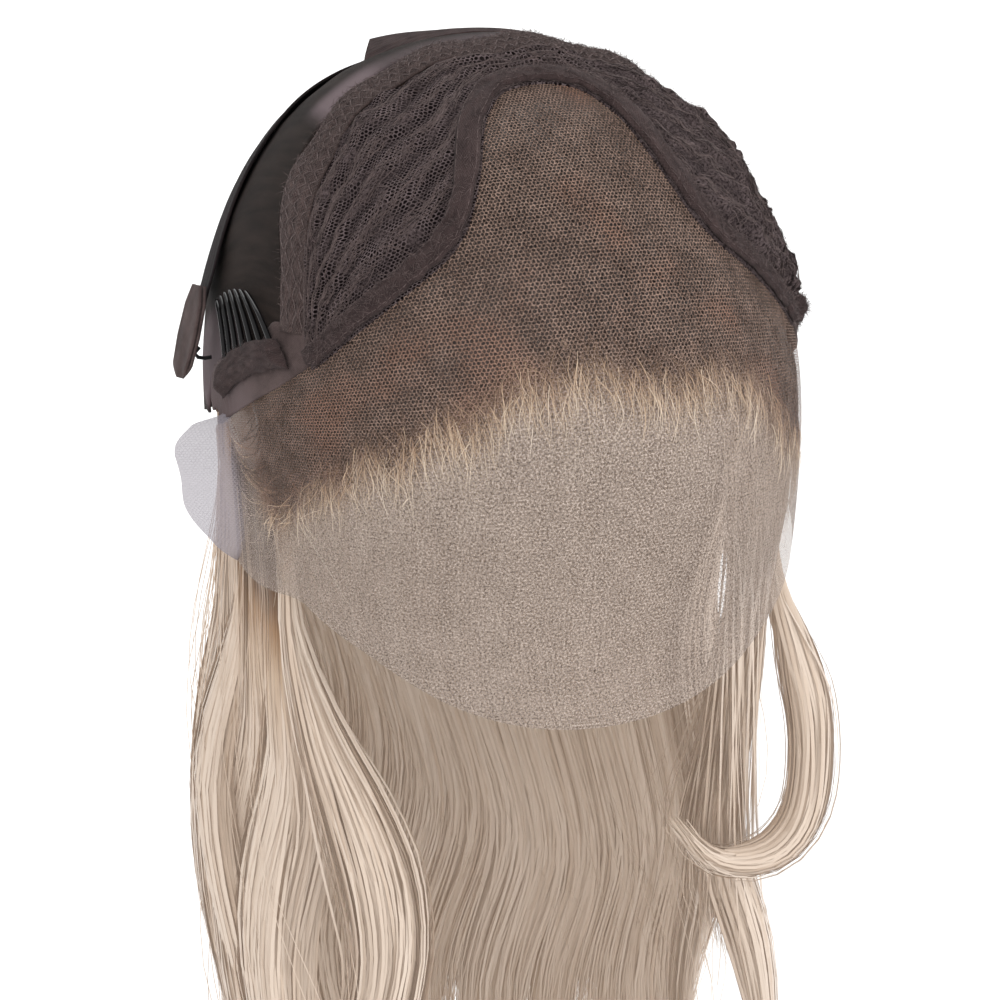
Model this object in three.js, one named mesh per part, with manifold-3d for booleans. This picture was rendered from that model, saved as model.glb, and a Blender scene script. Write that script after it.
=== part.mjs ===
// Long lace-front wig, turned inside out and held in its worn form. Millimetres, +Z up, face towards -Y.
// The origin is where the crown of a head meets the inside of the cap.
// Cloth pieces are walls on one rounded head form. A place on the form has a "side" angle, 0 on the centre
// plane and 90 at an ear, and a "sweep" angle, 0 at the forehead, 90 at the crown and 180 at the back.

import * as THREE from "three";
import { mergeVertices } from "three/addons/utils/BufferGeometryUtils.js";
import Module from "manifold-3d";

const wasm = await Module();
wasm.setup();
const { Vector3 } = THREE;
const radians = THREE.MathUtils.degToRad;
const mix = THREE.MathUtils.lerp;
const smooth = (x, from, to) => THREE.MathUtils.smoothstep(x, from, to);
const X_AXIS = new Vector3(1, 0, 0);
const Y_AXIS = new Vector3(0, 1, 0);
const Z_AXIS = new Vector3(0, 0, 1);

// Head form: half sizes to the cap's outer face, and the power that squares its section
const FORM = { halfWidth: 82, front: 95, back: 98, above: 103, below: 175, power: 2.15 };
const SEAT_DEPTH = 5;
const CENTRE_Z = SEAT_DEPTH - FORM.above;
const CAP_LEAN = 4;

// Walls, and the clear space between layers and between neighbours
const CLOTH_WALL = 1.2;
const LACE_WALL = 1.0;
const LACE_HAIR_WALL = 1.1;
const LAYER_GAP = 0.4;
const LINING_GAP = 1.1;
const SEAM_GAP = 0.25;
const HAIR_LAYER = SEAT_DEPTH - CLOTH_WALL - LINING_GAP;

// Side angles of the cloth's columns, close together where the lace seam runs steeply
const COLUMNS = [0, 4.5, 8, 10.5, 13, 15.5, 18, 21, 26, 32, 38, 43, 47, 50, 56, 62, 68, 73, 76.5, 80];

// Cut lines on the form, each the same on both sides
const LACE_SEAM = [
  { side: 0, sweep: 84 },
  { side: 5, sweep: 83 },
  { side: 10, sweep: 77 },
  { side: 14, sweep: 66 },
  { side: 18, sweep: 57.5 },
  { side: 22, sweep: 53.5 },
  { side: 28, sweep: 50.5 },
  { side: 38, sweep: 46.5 },
  { side: 50, sweep: 42 },
  { side: 64, sweep: 40 },
  { side: 86, sweep: 40 },
];
const LACE_EDGE = [
  { side: 0, sweep: -29.5 },
  { side: 20, sweep: -29 },
  { side: 35, sweep: -28 },
  { side: 50, sweep: -31 },
  { side: 69, sweep: -34 },
];
const HAIRLINE = [
  { side: 0, sweep: 31 },
  { side: 12, sweep: 31 },
  { side: 25, sweep: 27 },
  { side: 36, sweep: 21 },
  { side: 45, sweep: 15 },
  { side: 52, sweep: 9 },
  { side: 58, sweep: 1 },
  { side: 66, sweep: -10 },
  { side: 74, sweep: -8 },
];
const BAND_FRONT = [
  { side: 0, sweep: 95.5 },
  { side: 15, sweep: 95 },
  { side: 26, sweep: 92 },
  { side: 36, sweep: 84 },
  { side: 44, sweep: 69 },
  { side: 50, sweep: 51 },
];
const BAND_REAR = [
  { side: 0, sweep: 104 },
  { side: 15, sweep: 103 },
  { side: 26, sweep: 101 },
  { side: 36, sweep: 97 },
  { side: 46, sweep: 87 },
  { side: 51, sweep: 70 },
  { side: 55, sweep: 55.5 },
];
const EAR_TAB_TOP = [
  { side: 51, sweep: 50 },
  { side: 56, sweep: 56 },
  { side: 62, sweep: 60 },
  { side: 68, sweep: 66 },
  { side: 74, sweep: 85 },
  { side: 80, sweep: 125 },
  { side: 86, sweep: 150 },
];
const NAPE_EDGE = [
  { side: 0, sweep: 207 },
  { side: 20, sweep: 207 },
  { side: 40, sweep: 205 },
  { side: 55, sweep: 203 },
  { side: 68, sweep: 200 },
  { side: 80, sweep: 192 },
];

// Front lace: widest side angle at its seam and at its free edge, the drop of its two lower corners in
// degrees, and the margin that stands off by one ear
const LACE_SIDE = { seam: 80, edge: 64 };
const LACE_CORNER = { from: 50, left: 42, right: 10 };
const LACE_MARGIN = [
  { rise: 0, reach: 0.5 },
  { rise: 0.2, reach: 9 },
  { rise: 0.45, reach: 18 },
  { rise: 0.7, reach: 19 },
  { rise: 0.9, reach: 12 },
  { rise: 1, reach: 2 },
];
const MARGIN_COLUMNS = 2;
const MARGIN_DIRECTION = new Vector3(-0.95, 0.31, 0);
const LACE_HAIR = { side: 73, ragged: 2.5 };

// Crown panel: rows of sewn wefts under net, and the soft lumps of a cap with hair behind it
const WEFTS = { rows: 6, height: 1.3 };
const CAP_LUMPS = { height: 1.4, pitch: 15 };
const CROWN_SIDE = 50;
const BINDING = { width: 6.4, thick: 0.9 };
const SEAM_BAND = { frontSide: 49.4, rearSide: 54, rise: 1.1 };

// Elastic strap from ear to ear across the back, with its lift off the panel
const STRAP = [
  { side: 0, front: 133, rear: 149, lift: 0.9 },
  { side: 20, front: 129, rear: 147, lift: 0.9 },
  { side: 35, front: 122, rear: 145, lift: 0.9 },
  { side: 50, front: 121, rear: 143, lift: 1.1 },
  { side: 60, front: 117, rear: 140, lift: 2.5 },
  { side: 68, front: 111, rear: 136, lift: 3.7 },
];
const STRAP_WALL = 1.2;

// Pieces by each ear: comb, the tape over its spine, the strap's folded end and its hook
const COMB = { teeth: 7, fill: 0.46, spine: 0.2, spineThick: 1.8, toothThick: 1.5, lift: 0.75 };
const COMB_SPOTS = {
  spineFront: { side: 55.5, sweep: 49.5 },
  spineRear: { side: 76, sweep: 63.5 },
  tipFront: { side: 58.5, sweep: 80 },
  tipRear: { side: 66, sweep: 109 },
};
const COMB_TAPE = { overhang: 0.06, below: 0.12, above: 0.26, thick: 1.2 };
const STRAP_END = {
  top: { side: 64, sweep: 112, lift: 6.2 },
  tip: { side: 80, sweep: 109, lift: 10 },
  wide: 14,
  thick: 3,
};
const HOOK = { side: 76.4, sweep: 112, foot: 0.9, reach: 5.6, rise: 3, wire: 1.2 };

// Tape sewn behind the crown, lying on the cap at its seat. Its long end bows less than the cap, so it
// stands off, tilts up and ends in a slanted cut.
const CROWN_TAPE = {
  seatX: 13,
  seatY: 52,
  longEnd: 38,
  shortEnd: 18,
  depth: 13,
  thick: 1.6,
  lift: 0.1,
  bow: 5.6,
  stand: 28,
  slant: 5,
};

// Hair: one curtain round the sides and back, released below the cap's edge, flaring and waving as it
// hangs. A turn is the angle from the face round by the left ear, 180 at the back.
const HAIR_FALL = [
  { turn: 66, root: -42, release: -134, tip: -372, flare: -1 },
  { turn: 85, root: -62, release: -132, tip: -384, flare: 2 },
  { turn: 105, root: -90, release: -116, tip: -394, flare: 3 },
  { turn: 135, root: -108, release: -134, tip: -404, flare: 4 },
  { turn: 180, root: -124, release: -150, tip: -410, flare: 3 },
  { turn: 225, root: -108, release: -134, tip: -406, flare: 3 },
  { turn: 250, root: -90, release: -118, tip: -398, flare: -2 },
  { turn: 264, root: -82, release: -122, tip: -390, flare: -5 },
];
const CURTAIN = {
  locks: 14,
  perLock: 3,
  rows: 9,
  rowsInCap: 2,
  inset: 4.1,
  rootThick: 3.4,
  thick: 12,
  ridge: 6,
};
const WAVE = { length: 165, sway: 7, puff: 4, looseAfter: 90 };
const LOCK_TIPS = { notch: 50, uneven: 12, thick: 3 };
const LOCK = { rings: 7, sides: 6, rootThick: 2.6, rootWide: 12, tipShare: 0.3 };
const FREE_LOCKS = [
  { turn: 73, tip: -352, wide: 22, thick: 12, out: 4, phase: 40 },
  { turn: 93, tip: -390, wide: 24, thick: 12, out: 5, phase: 150 },
];
// By the right cheek a lock falls inwards and out again, and another leaves it, bows outwards and curls back before it
const ROUTED_SIDES = 6;
const CHEEK_LOCK = { wide: 18, thick: 15, grownFrom: 0.25, grownTo: 0.5, steps: 11 };
const CHEEK_ROUTE = [
  { x: 69, y: -19, z: -54 },
  { x: 72, y: -22, z: -86 },
  { x: 72, y: -24, z: -118 },
  { x: 71, y: -24, z: -150 },
  { x: 69, y: -23, z: -180 },
  { x: 65, y: -20, z: -210 },
  { x: 63, y: -16, z: -238 },
  { x: 68, y: -12, z: -266 },
  { x: 78, y: -9, z: -298 },
  { x: 86, y: -6, z: -336 },
  { x: 90, y: -3, z: -378 },
];
const CURL_LOCK = { wide: 13, thick: 14, grownFrom: 0.1, grownTo: 0.4, steps: 14 };
const CURL_ROUTE = [
  { x: 72, y: -25, z: -134 },
  { x: 74, y: -27, z: -154 },
  { x: 80, y: -29, z: -176 },
  { x: 86, y: -30, z: -200 },
  { x: 88, y: -30, z: -222 },
  { x: 86, y: -30, z: -240 },
  { x: 78, y: -31, z: -250 },
  { x: 66, y: -32, z: -252 },
  { x: 54, y: -32, z: -247 },
  { x: 44, y: -29, z: -233 },
];

// Smooth curve through a table's rows that never overshoots them, held flat beyond the ends
function fromTable(table, key, value, x) {
  const rise = (i) => (table[i + 1][value] - table[i][value]) / (table[i + 1][key] - table[i][key]);
  const slope = (i) => {
    if (i === 0 || i === table.length - 1) return 0;
    const before = rise(i - 1);
    const after = rise(i);
    return before * after <= 0 ? 0 : (2 * before * after) / (before + after);
  };
  const last = table.length - 1;
  if (x <= table[0][key]) return table[0][value];
  if (x >= table[last][key]) return table[last][value];
  const i = table.findIndex((row) => row[key] > x) - 1;
  const span = table[i + 1][key] - table[i][key];
  const t = (x - table[i][key]) / span;
  const start = table[i][value];
  const end = table[i + 1][value];
  return (
    start * (1 + 2 * t) * (1 - t) ** 2 +
    end * t * t * (3 - 2 * t) +
    span * t * (1 - t) * (slope(i) * (1 - t) - slope(i + 1) * t)
  );
}

const sweepAt = (table, side) => fromTable(table, "side", "sweep", Math.abs(side));

// Side angles from one limit to the other, both sides of the centre plane
const columnsTo = (limit) => {
  const half = COLUMNS.filter((side) => side > 0 && side <= limit);
  return [...half.map((side) => -side).reverse(), 0, ...half];
};
const sparseColumns = (limit) => columnsTo(limit).filter((side, i) => i % 2 === 1 || Math.abs(side) > 30);

function halfSizes(p) {
  return {
    x: FORM.halfWidth,
    y: p.y < 0 ? FORM.front : FORM.back,
    z: p.z > 0 ? FORM.above : FORM.below,
  };
}

// How far out a point lies from the form's centre, 1 on the surface
function gauge(p) {
  const half = halfSizes(p);
  const sum = ["x", "y", "z"].reduce((s, k) => s + Math.abs(p[k] / half[k]) ** FORM.power, 0);
  return sum ** (1 / FORM.power);
}

function outwardAt(p) {
  const half = halfSizes(p);
  const part = (k) => (Math.sign(p[k]) * Math.abs(p[k]) ** (FORM.power - 1)) / half[k] ** FORM.power;
  return new Vector3(part("x"), part("y"), part("z")).normalize();
}

// A point on the form, lifted along its normal, and the normal there
function formSpot(side, sweep, lift) {
  const point = new Vector3(
    Math.sin(radians(side)),
    -Math.cos(radians(side)) * Math.cos(radians(sweep)),
    Math.cos(radians(side)) * Math.sin(radians(sweep)),
  ).applyAxisAngle(Y_AXIS, radians(CAP_LEAN));
  point.divideScalar(gauge(point));
  const normal = outwardAt(point);
  point.addScaledVector(normal, lift);
  point.z += CENTRE_Z;
  return { point, normal };
}

const formPoint = (side, sweep, lift) => formSpot(side, sweep, lift).point;

// A point on the level outline of the form at a height, set in from the surface
function outlinePoint(around, z, inset) {
  const bearing = new Vector3(Math.sin(radians(around)), -Math.cos(radians(around)), 0);
  const level = z - CENTRE_Z;
  const height = Math.abs(level / (level > 0 ? FORM.above : FORM.below));
  const share = Math.max(1 - height ** FORM.power, 0) ** (1 / FORM.power);
  const radius = share / gauge(bearing) - inset;
  return new Vector3(bearing.x * radius, bearing.y * radius, z);
}

function facingOut(points, index) {
  let volume = 0;
  for (let i = 0; i < index.length; i += 3) {
    const [a, b, c] = [points[index[i]], points[index[i + 1]], points[index[i + 2]]];
    volume += a.dot(new Vector3().crossVectors(b, c));
  }
  const geometry = new THREE.BufferGeometry().setFromPoints(points);
  geometry.setIndex(volume > 0 ? index : [...index].reverse());
  return geometry;
}

// Closed wall between an outer and an inner face, each given for u and v from 0 to 1
function wall(columns, rows, outer, inner) {
  const points = [];
  const index = [];
  const id = (layer, i, j) => (layer * (columns + 1) + i) * (rows + 1) + j;
  const quad = (a, b, c, d) => index.push(a, b, c, a, c, d);
  for (const face of [outer, inner])
    for (let i = 0; i <= columns; i++)
      for (let j = 0; j <= rows; j++) points.push(face(i / columns, j / rows));
  for (let i = 0; i < columns; i++) {
    for (let j = 0; j < rows; j++) {
      quad(id(0, i, j), id(0, i + 1, j), id(0, i + 1, j + 1), id(0, i, j + 1));
      quad(id(1, i, j + 1), id(1, i + 1, j + 1), id(1, i + 1, j), id(1, i, j));
    }
    quad(id(1, i, 0), id(1, i + 1, 0), id(0, i + 1, 0), id(0, i, 0));
    quad(id(0, i, rows), id(0, i + 1, rows), id(1, i + 1, rows), id(1, i, rows));
  }
  for (let j = 0; j < rows; j++) {
    quad(id(0, 0, j), id(0, 0, j + 1), id(1, 0, j + 1), id(1, 0, j));
    quad(id(1, columns, j), id(1, columns, j + 1), id(0, columns, j + 1), id(0, columns, j));
  }
  return facingOut(points, index);
}

// Wall on the form from a place for each u and v, and the lifts of its two faces
function formWall(columns, rows, spot, outerLift, innerLift) {
  const face = (lift) => (u, v) => {
    const { side, sweep } = spot(u, v);
    return formPoint(side, sweep, lift(side, sweep, v, u));
  };
  return wall(columns, rows, face(outerLift), face(innerLift));
}

// Closed skin over a row of rings with the same number of points
function loft(rings) {
  const count = rings[0].length;
  const points = rings.flat();
  const index = [];
  for (let r = 0; r + 1 < rings.length; r++)
    for (let s = 0; s < count; s++) {
      const next = (s + 1) % count;
      const [a, b] = [r * count + s, r * count + next];
      index.push(a, b, b + count, a, b + count, a + count);
    }
  for (const [ring, flip] of [[0, true], [rings.length - 1, false]]) {
    const middle = points.length;
    points.push(rings[ring].reduce((sum, p) => sum.add(p), new Vector3()).divideScalar(count));
    for (let s = 0; s < count; s++) {
      const [a, b] = [ring * count + s, ring * count + ((s + 1) % count)];
      index.push(...(flip ? [middle, b, a] : [middle, a, b]));
    }
  }
  return facingOut(points, index);
}

// Elliptical ring about a point, wide along one direction and thick along another
function ringAbout(centre, wideWay, thickWay, wide, thick, sides) {
  return Array.from({ length: sides }, (_, s) => {
    const turn = (2 * Math.PI * s) / sides;
    return centre
      .clone()
      .addScaledVector(wideWay, (Math.cos(turn) * wide) / 2)
      .addScaledVector(thickWay, (Math.sin(turn) * thick) / 2);
  });
}

function solidOf(geometry) {
  const bare = new THREE.BufferGeometry();
  bare.setAttribute("position", geometry.getAttribute("position").clone());
  bare.setIndex(geometry.index);
  const merged = mergeVertices(bare, 1e-4);
  return new wasm.Manifold(
    new wasm.Mesh({
      numProp: 3,
      vertProperties: merged.getAttribute("position").array,
      triVerts: new Uint32Array(merged.index.array),
    }),
  );
}

// One body of several that overlap; only its outer shell is kept, so pockets between them are filled
function fuse(geometries) {
  const joined = geometries.map(solidOf).reduce((sum, solid) => sum.add(solid));
  const shells = joined.decompose().filter((shell) => shell.volume() > 0);
  if (shells.length !== 1) throw new Error(`${shells.length} bodies that don't meet`);
  const mesh = shells[0].getMesh();
  const geometry = new THREE.BufferGeometry();
  geometry.setAttribute("position", new THREE.BufferAttribute(mesh.vertProperties, 3));
  return geometry.setIndex(new THREE.BufferAttribute(mesh.triVerts, 1));
}

const wig = new THREE.Group();

function piece(name, geometry, material) {
  geometry.computeVertexNormals();
  const mesh = new THREE.Mesh(geometry, material);
  mesh.name = name;
  wig.add(mesh);
  return mesh;
}

const cloth = (color, roughness) => new THREE.MeshStandardMaterial({ color, roughness, metalness: 0 });
const LACE = cloth(0x96806f, 0.9);
const ROOT_HAIR = cloth(0x3a2c25, 0.7);
const WEFT_NET = cloth(0x4a3f3f, 0.95);
const TAPE = cloth(0x4b3f3e, 0.8);
const SEAM = cloth(0x574844, 0.95);
const STRETCH = cloth(0x332b29, 0.6);
const TAB = cloth(0x5b4f4e, 0.8);
const ELASTIC = cloth(0x211c1b, 0.7);
const BLONDE = cloth(0xc6b49f, 0.5);
const COMB_PLASTIC = new THREE.MeshStandardMaterial({ color: 0x111111, roughness: 0.25, metalness: 0 });
const HOOK_METAL = new THREE.MeshStandardMaterial({ color: 0x1a1a1a, roughness: 0.35, metalness: 0.8 });

const laceEdgeAt = (side) => {
  const corner = Math.max(Math.abs(side) - LACE_CORNER.from, 0) / (LACE_SIDE.edge - LACE_CORNER.from);
  const drop = side < 0 ? LACE_CORNER.left : LACE_CORNER.right;
  return sweepAt(LACE_EDGE, side) - drop * Math.min(corner, 1) ** 2;
};

// Front lace, from its free edge over the face up to the seam, with the loose margin as its first columns
function frontLace() {
  const sides = columnsTo(LACE_SIDE.seam);
  const columns = sides.length - 1 + MARGIN_COLUMNS;
  const face = (lift) => (u, v) => {
    const column = Math.round(u * columns);
    const outside = Math.max(MARGIN_COLUMNS - column, 0) / MARGIN_COLUMNS;
    const across = sides[Math.max(column - MARGIN_COLUMNS, 0)] / LACE_SIDE.seam;
    const side = across * mix(LACE_SIDE.edge, LACE_SIDE.seam, v);
    const point = formPoint(side, mix(laceEdgeAt(side), sweepAt(LACE_SEAM, side) - SEAM_GAP, v), lift);
    const reach = fromTable(LACE_MARGIN, "rise", "reach", v) * outside;
    return point.addScaledVector(MARGIN_DIRECTION, reach).addScaledVector(Y_AXIS, -lift * outside);
  };
  piece("front_lace", wall(columns, 9, face(0), face(-LACE_WALL)), LACE);
}

// Dark-rooted hair tied into the lace behind the hairline, its front edge in tufts
function laceHair() {
  const top = -LACE_WALL - LINING_GAP;
  const sides = columnsTo(LACE_HAIR.side);
  const spot = (u, v) => {
    const column = Math.round(u * (sides.length - 1));
    const side = sides[column];
    const from = sweepAt(HAIRLINE, side) + LACE_HAIR.ragged * (column % 2);
    return { side, sweep: mix(from, sweepAt(LACE_SEAM, side) - 4 * SEAM_GAP, v) };
  };
  const geometry = formWall(sides.length - 1, 3, spot, () => top, () => top - LACE_HAIR_WALL);
  piece("lace_hair", geometry, ROOT_HAIR);
}

const lumpsAt = (side) => CAP_LUMPS.height * 0.5 * (1 + Math.sin((2 * Math.PI * side) / CAP_LUMPS.pitch));

// Distance on the form from the lace seam, square to its run
function pastSeam(side, sweep) {
  const step = 0.5;
  const near = Math.abs(side);
  const before = sweepAt(LACE_SEAM, Math.max(near - step, 0));
  const slope = (sweepAt(LACE_SEAM, near + step) - before) / (2 * step);
  const run = Math.hypot(1, slope * Math.cos(radians(side)));
  return (radians(sweep - sweepAt(LACE_SEAM, side)) * FORM.front * Math.cos(radians(side))) / run;
}

// Crown panel between the lace seam and the seam band, ridged by the wefts sewn under its net
function crownPanel() {
  const sides = columnsTo(CROWN_SIDE);
  const spot = (u, v) => {
    const side = sides[Math.round(u * (sides.length - 1))] * 0.985;
    const from = sweepAt(LACE_SEAM, side) + SEAM_GAP;
    return { side, sweep: mix(from, sweepAt(BAND_FRONT, side) - 2 * SEAM_GAP, v) };
  };
  const relief = (side, sweep, v) => {
    const clear = smooth(pastSeam(side, sweep), BINDING.width + 1.5, BINDING.width + 4.5);
    const weft = WEFTS.height * Math.sin(Math.PI * WEFTS.rows * v) ** 2;
    return clear * (weft + lumpsAt(side) * v);
  };
  piece("crown_panel", formWall(sides.length - 1, 18, spot, relief, () => -CLOTH_WALL), WEFT_NET);
}

// Tape bound over the cap's side of the lace seam, of even width along its curve
function laceBinding() {
  const sideMost = 49;
  const line = (u) => {
    const side = (2 * u - 1) * sideMost;
    return { side, sweep: sweepAt(LACE_SEAM, side) + 3 * SEAM_GAP };
  };
  const spot = (u, v) => {
    const here = line(u);
    const step = 0.004;
    const [a, b] = [line(u - step), line(u + step)];
    const run = { side: b.side - a.side, sweep: (b.sweep - a.sweep) * Math.cos(radians(here.side)) };
    const length = Math.hypot(run.side, run.sweep);
    const width = THREE.MathUtils.radToDeg(BINDING.width / FORM.front) * v;
    return {
      side: here.side - (run.sweep / length) * width,
      sweep: here.sweep + ((run.side / length) * width) / Math.cos(radians(here.side)),
    };
  };
  const over = LAYER_GAP + 0.4;
  const crowned = (side, sweep, v) => over + BINDING.thick * (1 + 0.5 * Math.sin(Math.PI * v));
  const geometry = formWall(40, 2, spot, crowned, () => over);
  piece("lace_binding", geometry, TAPE);
}

// Stitched band from temple to temple over the crown
function crownSeam() {
  const sides = columnsTo(CROWN_SIDE);
  const spot = (u, v) => {
    const across = sides[Math.round(u * (sides.length - 1))] / CROWN_SIDE;
    const front = across * SEAM_BAND.frontSide;
    const rear = across * SEAM_BAND.rearSide;
    const from = sweepAt(BAND_FRONT, front) + SEAM_GAP;
    return { side: mix(front, rear, v), sweep: mix(from, sweepAt(BAND_REAR, rear) - SEAM_GAP, v) };
  };
  const rise = (side, sweep, v) => SEAM_BAND.rise * Math.sin(Math.PI * v) + lumpsAt(side);
  piece("crown_seam", formWall(sides.length - 1, 3, spot, rise, () => -CLOTH_WALL), SEAM);
}

const backTop = (side) =>
  Math.abs(side) < BAND_REAR.at(-1).side ? sweepAt(BAND_REAR, side) : sweepAt(EAR_TAB_TOP, side);

// Smooth stretch panel from the seam band down to the nape, open round each ear
function backPanel() {
  const sides = sparseColumns(NAPE_EDGE.at(-1).side);
  const spot = (u, v) => {
    const side = sides[Math.round(u * (sides.length - 1))];
    return { side, sweep: mix(backTop(side) + 4 * SEAM_GAP, sweepAt(NAPE_EDGE, side), v) };
  };
  piece("back_panel", formWall(sides.length - 1, 8, spot, () => 0, () => -CLOTH_WALL), STRETCH);
}

// Tab in front of and above an ear, between the lace seam and the back panel
function earTab(name, hand) {
  const [first, last] = [EAR_TAB_TOP[0].side, EAR_TAB_TOP.at(-1).side];
  const sides = [first, ...COLUMNS.filter((side) => side > first), last];
  const spot = (u, v) => {
    const side = sides[Math.round(u * (sides.length - 1))];
    const from = sweepAt(LACE_SEAM, side) + 6 * SEAM_GAP;
    return { side: hand * side, sweep: mix(from, sweepAt(EAR_TAB_TOP, side) - 2 * SEAM_GAP, v) };
  };
  piece(name, formWall(sides.length - 1, 4, spot, () => 0, () => -CLOTH_WALL), TAB);
}

// Place on a comb: across from its front to its rear, along from its spine to its tips
function combSpot(hand, across, along) {
  const at = (value) => {
    const front = mix(COMB_SPOTS.spineFront[value], COMB_SPOTS.tipFront[value], along);
    const rear = mix(COMB_SPOTS.spineRear[value], COMB_SPOTS.tipRear[value], along);
    return mix(front, rear, across);
  };
  return { side: hand * at("side"), sweep: at("sweep") };
}

// Plate that follows the form over part of a comb's outline
function combPlate(hand, columns, rows, across, along, outer, inner) {
  const spot = (u, v) => combSpot(hand, mix(across[0], across[1], u), mix(along[0], along[1], v));
  return formWall(columns, rows, spot, outer, inner);
}

// Comb sewn by an ear, its teeth lying back over the panel, and the tape that holds its spine
function combAndTape(hand, label) {
  const level = (height) => () => COMB.lift + height;
  const inset = (COMB.spineThick - COMB.toothThick) / 2;
  const plates = [combPlate(hand, 4, 1, [0, 1], [0, COMB.spine], level(COMB.spineThick), level(0))];
  const pitch = 1 / (COMB.teeth - 1 + COMB.fill);
  for (let tooth = 0; tooth < COMB.teeth; tooth++) {
    const across = [tooth * pitch, (tooth + COMB.fill) * pitch];
    const along = [COMB.spine / 2, 1];
    plates.push(combPlate(hand, 1, 2, across, along, level(inset + COMB.toothThick), level(inset)));
  }
  piece(`comb_${label}`, fuse(plates), COMB_PLASTIC);
  const under = COMB.lift + COMB.spineThick + LAYER_GAP;
  const pucker = (u, v) => 1 + 0.35 * Math.sin(3 * u * Math.PI) * Math.sin(v * Math.PI);
  const outer = (side, sweep, v, u) => under + COMB_TAPE.thick * pucker(u, v);
  const across = [-COMB_TAPE.overhang, 1 + COMB_TAPE.overhang];
  const tape = combPlate(hand, 6, 2, across, [-COMB_TAPE.below, COMB_TAPE.above], outer, () => under);
  piece(`comb_tape_${label}`, tape, TAPE);
}

// Elastic strap across the back of the cap, standing off it towards the ears
function elasticStrap() {
  const sideMost = STRAP.at(-1).side;
  const column = (value, side) => fromTable(STRAP, "side", value, Math.abs(side));
  const spot = (u, v) => {
    const side = (2 * u - 1) * sideMost;
    return { side, sweep: mix(column("front", side), column("rear", side), v) };
  };
  const inner = (side) => column("lift", side);
  const outer = (side) => column("lift", side) + STRAP_WALL;
  piece("elastic_strap", formWall(20, 2, spot, outer, inner), ELASTIC);
}

// Folded end of the strap, a flat leaf that stands out behind the ear tab, and the hook under it
function strapEnd(hand, label) {
  const place = ({ side, sweep, lift }) => formPoint(hand * side, sweep, lift);
  const [top, tip] = [place(STRAP_END.top), place(STRAP_END.tip)];
  const run = tip.clone().sub(top).normalize();
  const wideWay = Y_AXIS.clone().projectOnPlane(run).normalize();
  const thickWay = new Vector3().crossVectors(run, wideWay);
  const shares = [
    { at: 0, wide: 0.55, thick: 0.5 },
    { at: 0.2, wide: 0.9, thick: 0.75 },
    { at: 0.55, wide: 1, thick: 1 },
    { at: 0.85, wide: 0.85, thick: 1 },
    { at: 1, wide: 0.45, thick: 0.7 },
  ];
  const rings = shares.map((share) => {
    const centre = top.clone().lerp(tip, share.at);
    const [wide, thick] = [share.wide * STRAP_END.wide, share.thick * STRAP_END.thick];
    return ringAbout(centre, wideWay, thickWay, wide, thick, 10);
  });
  piece(`strap_end_${label}`, loft(rings), TAB);
  const { point, normal } = formSpot(hand * HOOK.side, HOOK.sweep, HOOK.foot);
  const at = (out, up) => point.clone().addScaledVector(normal, out).addScaledVector(Z_AXIS, up);
  const route = new THREE.CatmullRomCurve3([
    at(0, 0),
    at(HOOK.reach * 0.55, -0.4),
    at(HOOK.reach * 0.85, HOOK.rise * 0.3),
    at(HOOK.reach * 0.6, HOOK.rise),
  ]);
  const wire = new THREE.Shape().absarc(0, 0, HOOK.wire / 2, 0, 2 * Math.PI);
  const hook = new THREE.ExtrudeGeometry(wire, { steps: 4, extrudePath: route, curveSegments: 3 });
  piece(`strap_hook_${label}`, hook, HOOK_METAL);
}

// Tape behind the crown, from the plane that touches the cap at its seat
function crownTape() {
  const { seatX, seatY, longEnd, depth } = CROWN_TAPE;
  const spread = (seatX / FORM.halfWidth) ** FORM.power + (seatY / FORM.back) ** FORM.power;
  const seat = new Vector3(seatX, seatY, FORM.above * (1 - spread) ** (1 / FORM.power));
  const away = outwardAt(seat);
  const lengthWay = X_AXIS.clone().projectOnPlane(away).normalize();
  const depthWay = new Vector3().crossVectors(away, lengthWay);
  const face = (up) => (u, v) => {
    const along = mix(CROWN_TAPE.slant * v - longEnd, CROWN_TAPE.shortEnd, u);
    const tilt = radians(CROWN_TAPE.stand) * (Math.max(-along, 0) / longEnd);
    const [deep, high] = [depth * v, CROWN_TAPE.lift + up];
    return seat
      .clone()
      .addScaledVector(lengthWay, along)
      .addScaledVector(depthWay, deep * Math.cos(tilt) - high * Math.sin(tilt) - depth / 2)
      .addScaledVector(away, deep * Math.sin(tilt) + high * Math.cos(tilt))
      .addScaledVector(away, -CROWN_TAPE.bow * (along / longEnd) ** 2)
      .addScaledVector(Z_AXIS, CENTRE_Z);
  };
  piece("crown_tape", wall(6, 2, face(CROWN_TAPE.thick), face(0)), ELASTIC);
}

// Hair pressed against the cap's inner face, the backing that every lock grows from
function hairBacking() {
  const sides = sparseColumns(NAPE_EDGE.at(-1).side);
  const top = -CLOTH_WALL - LINING_GAP;
  const spot = (u, v) => {
    const side = sides[Math.round(u * (sides.length - 1))];
    return { side, sweep: mix(sweepAt(LACE_SEAM, side) + 2 * SEAM_GAP, sweepAt(NAPE_EDGE, side), v) };
  };
  return formWall(sides.length - 1, 6, spot, () => top, () => top - HAIR_LAYER);
}

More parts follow.
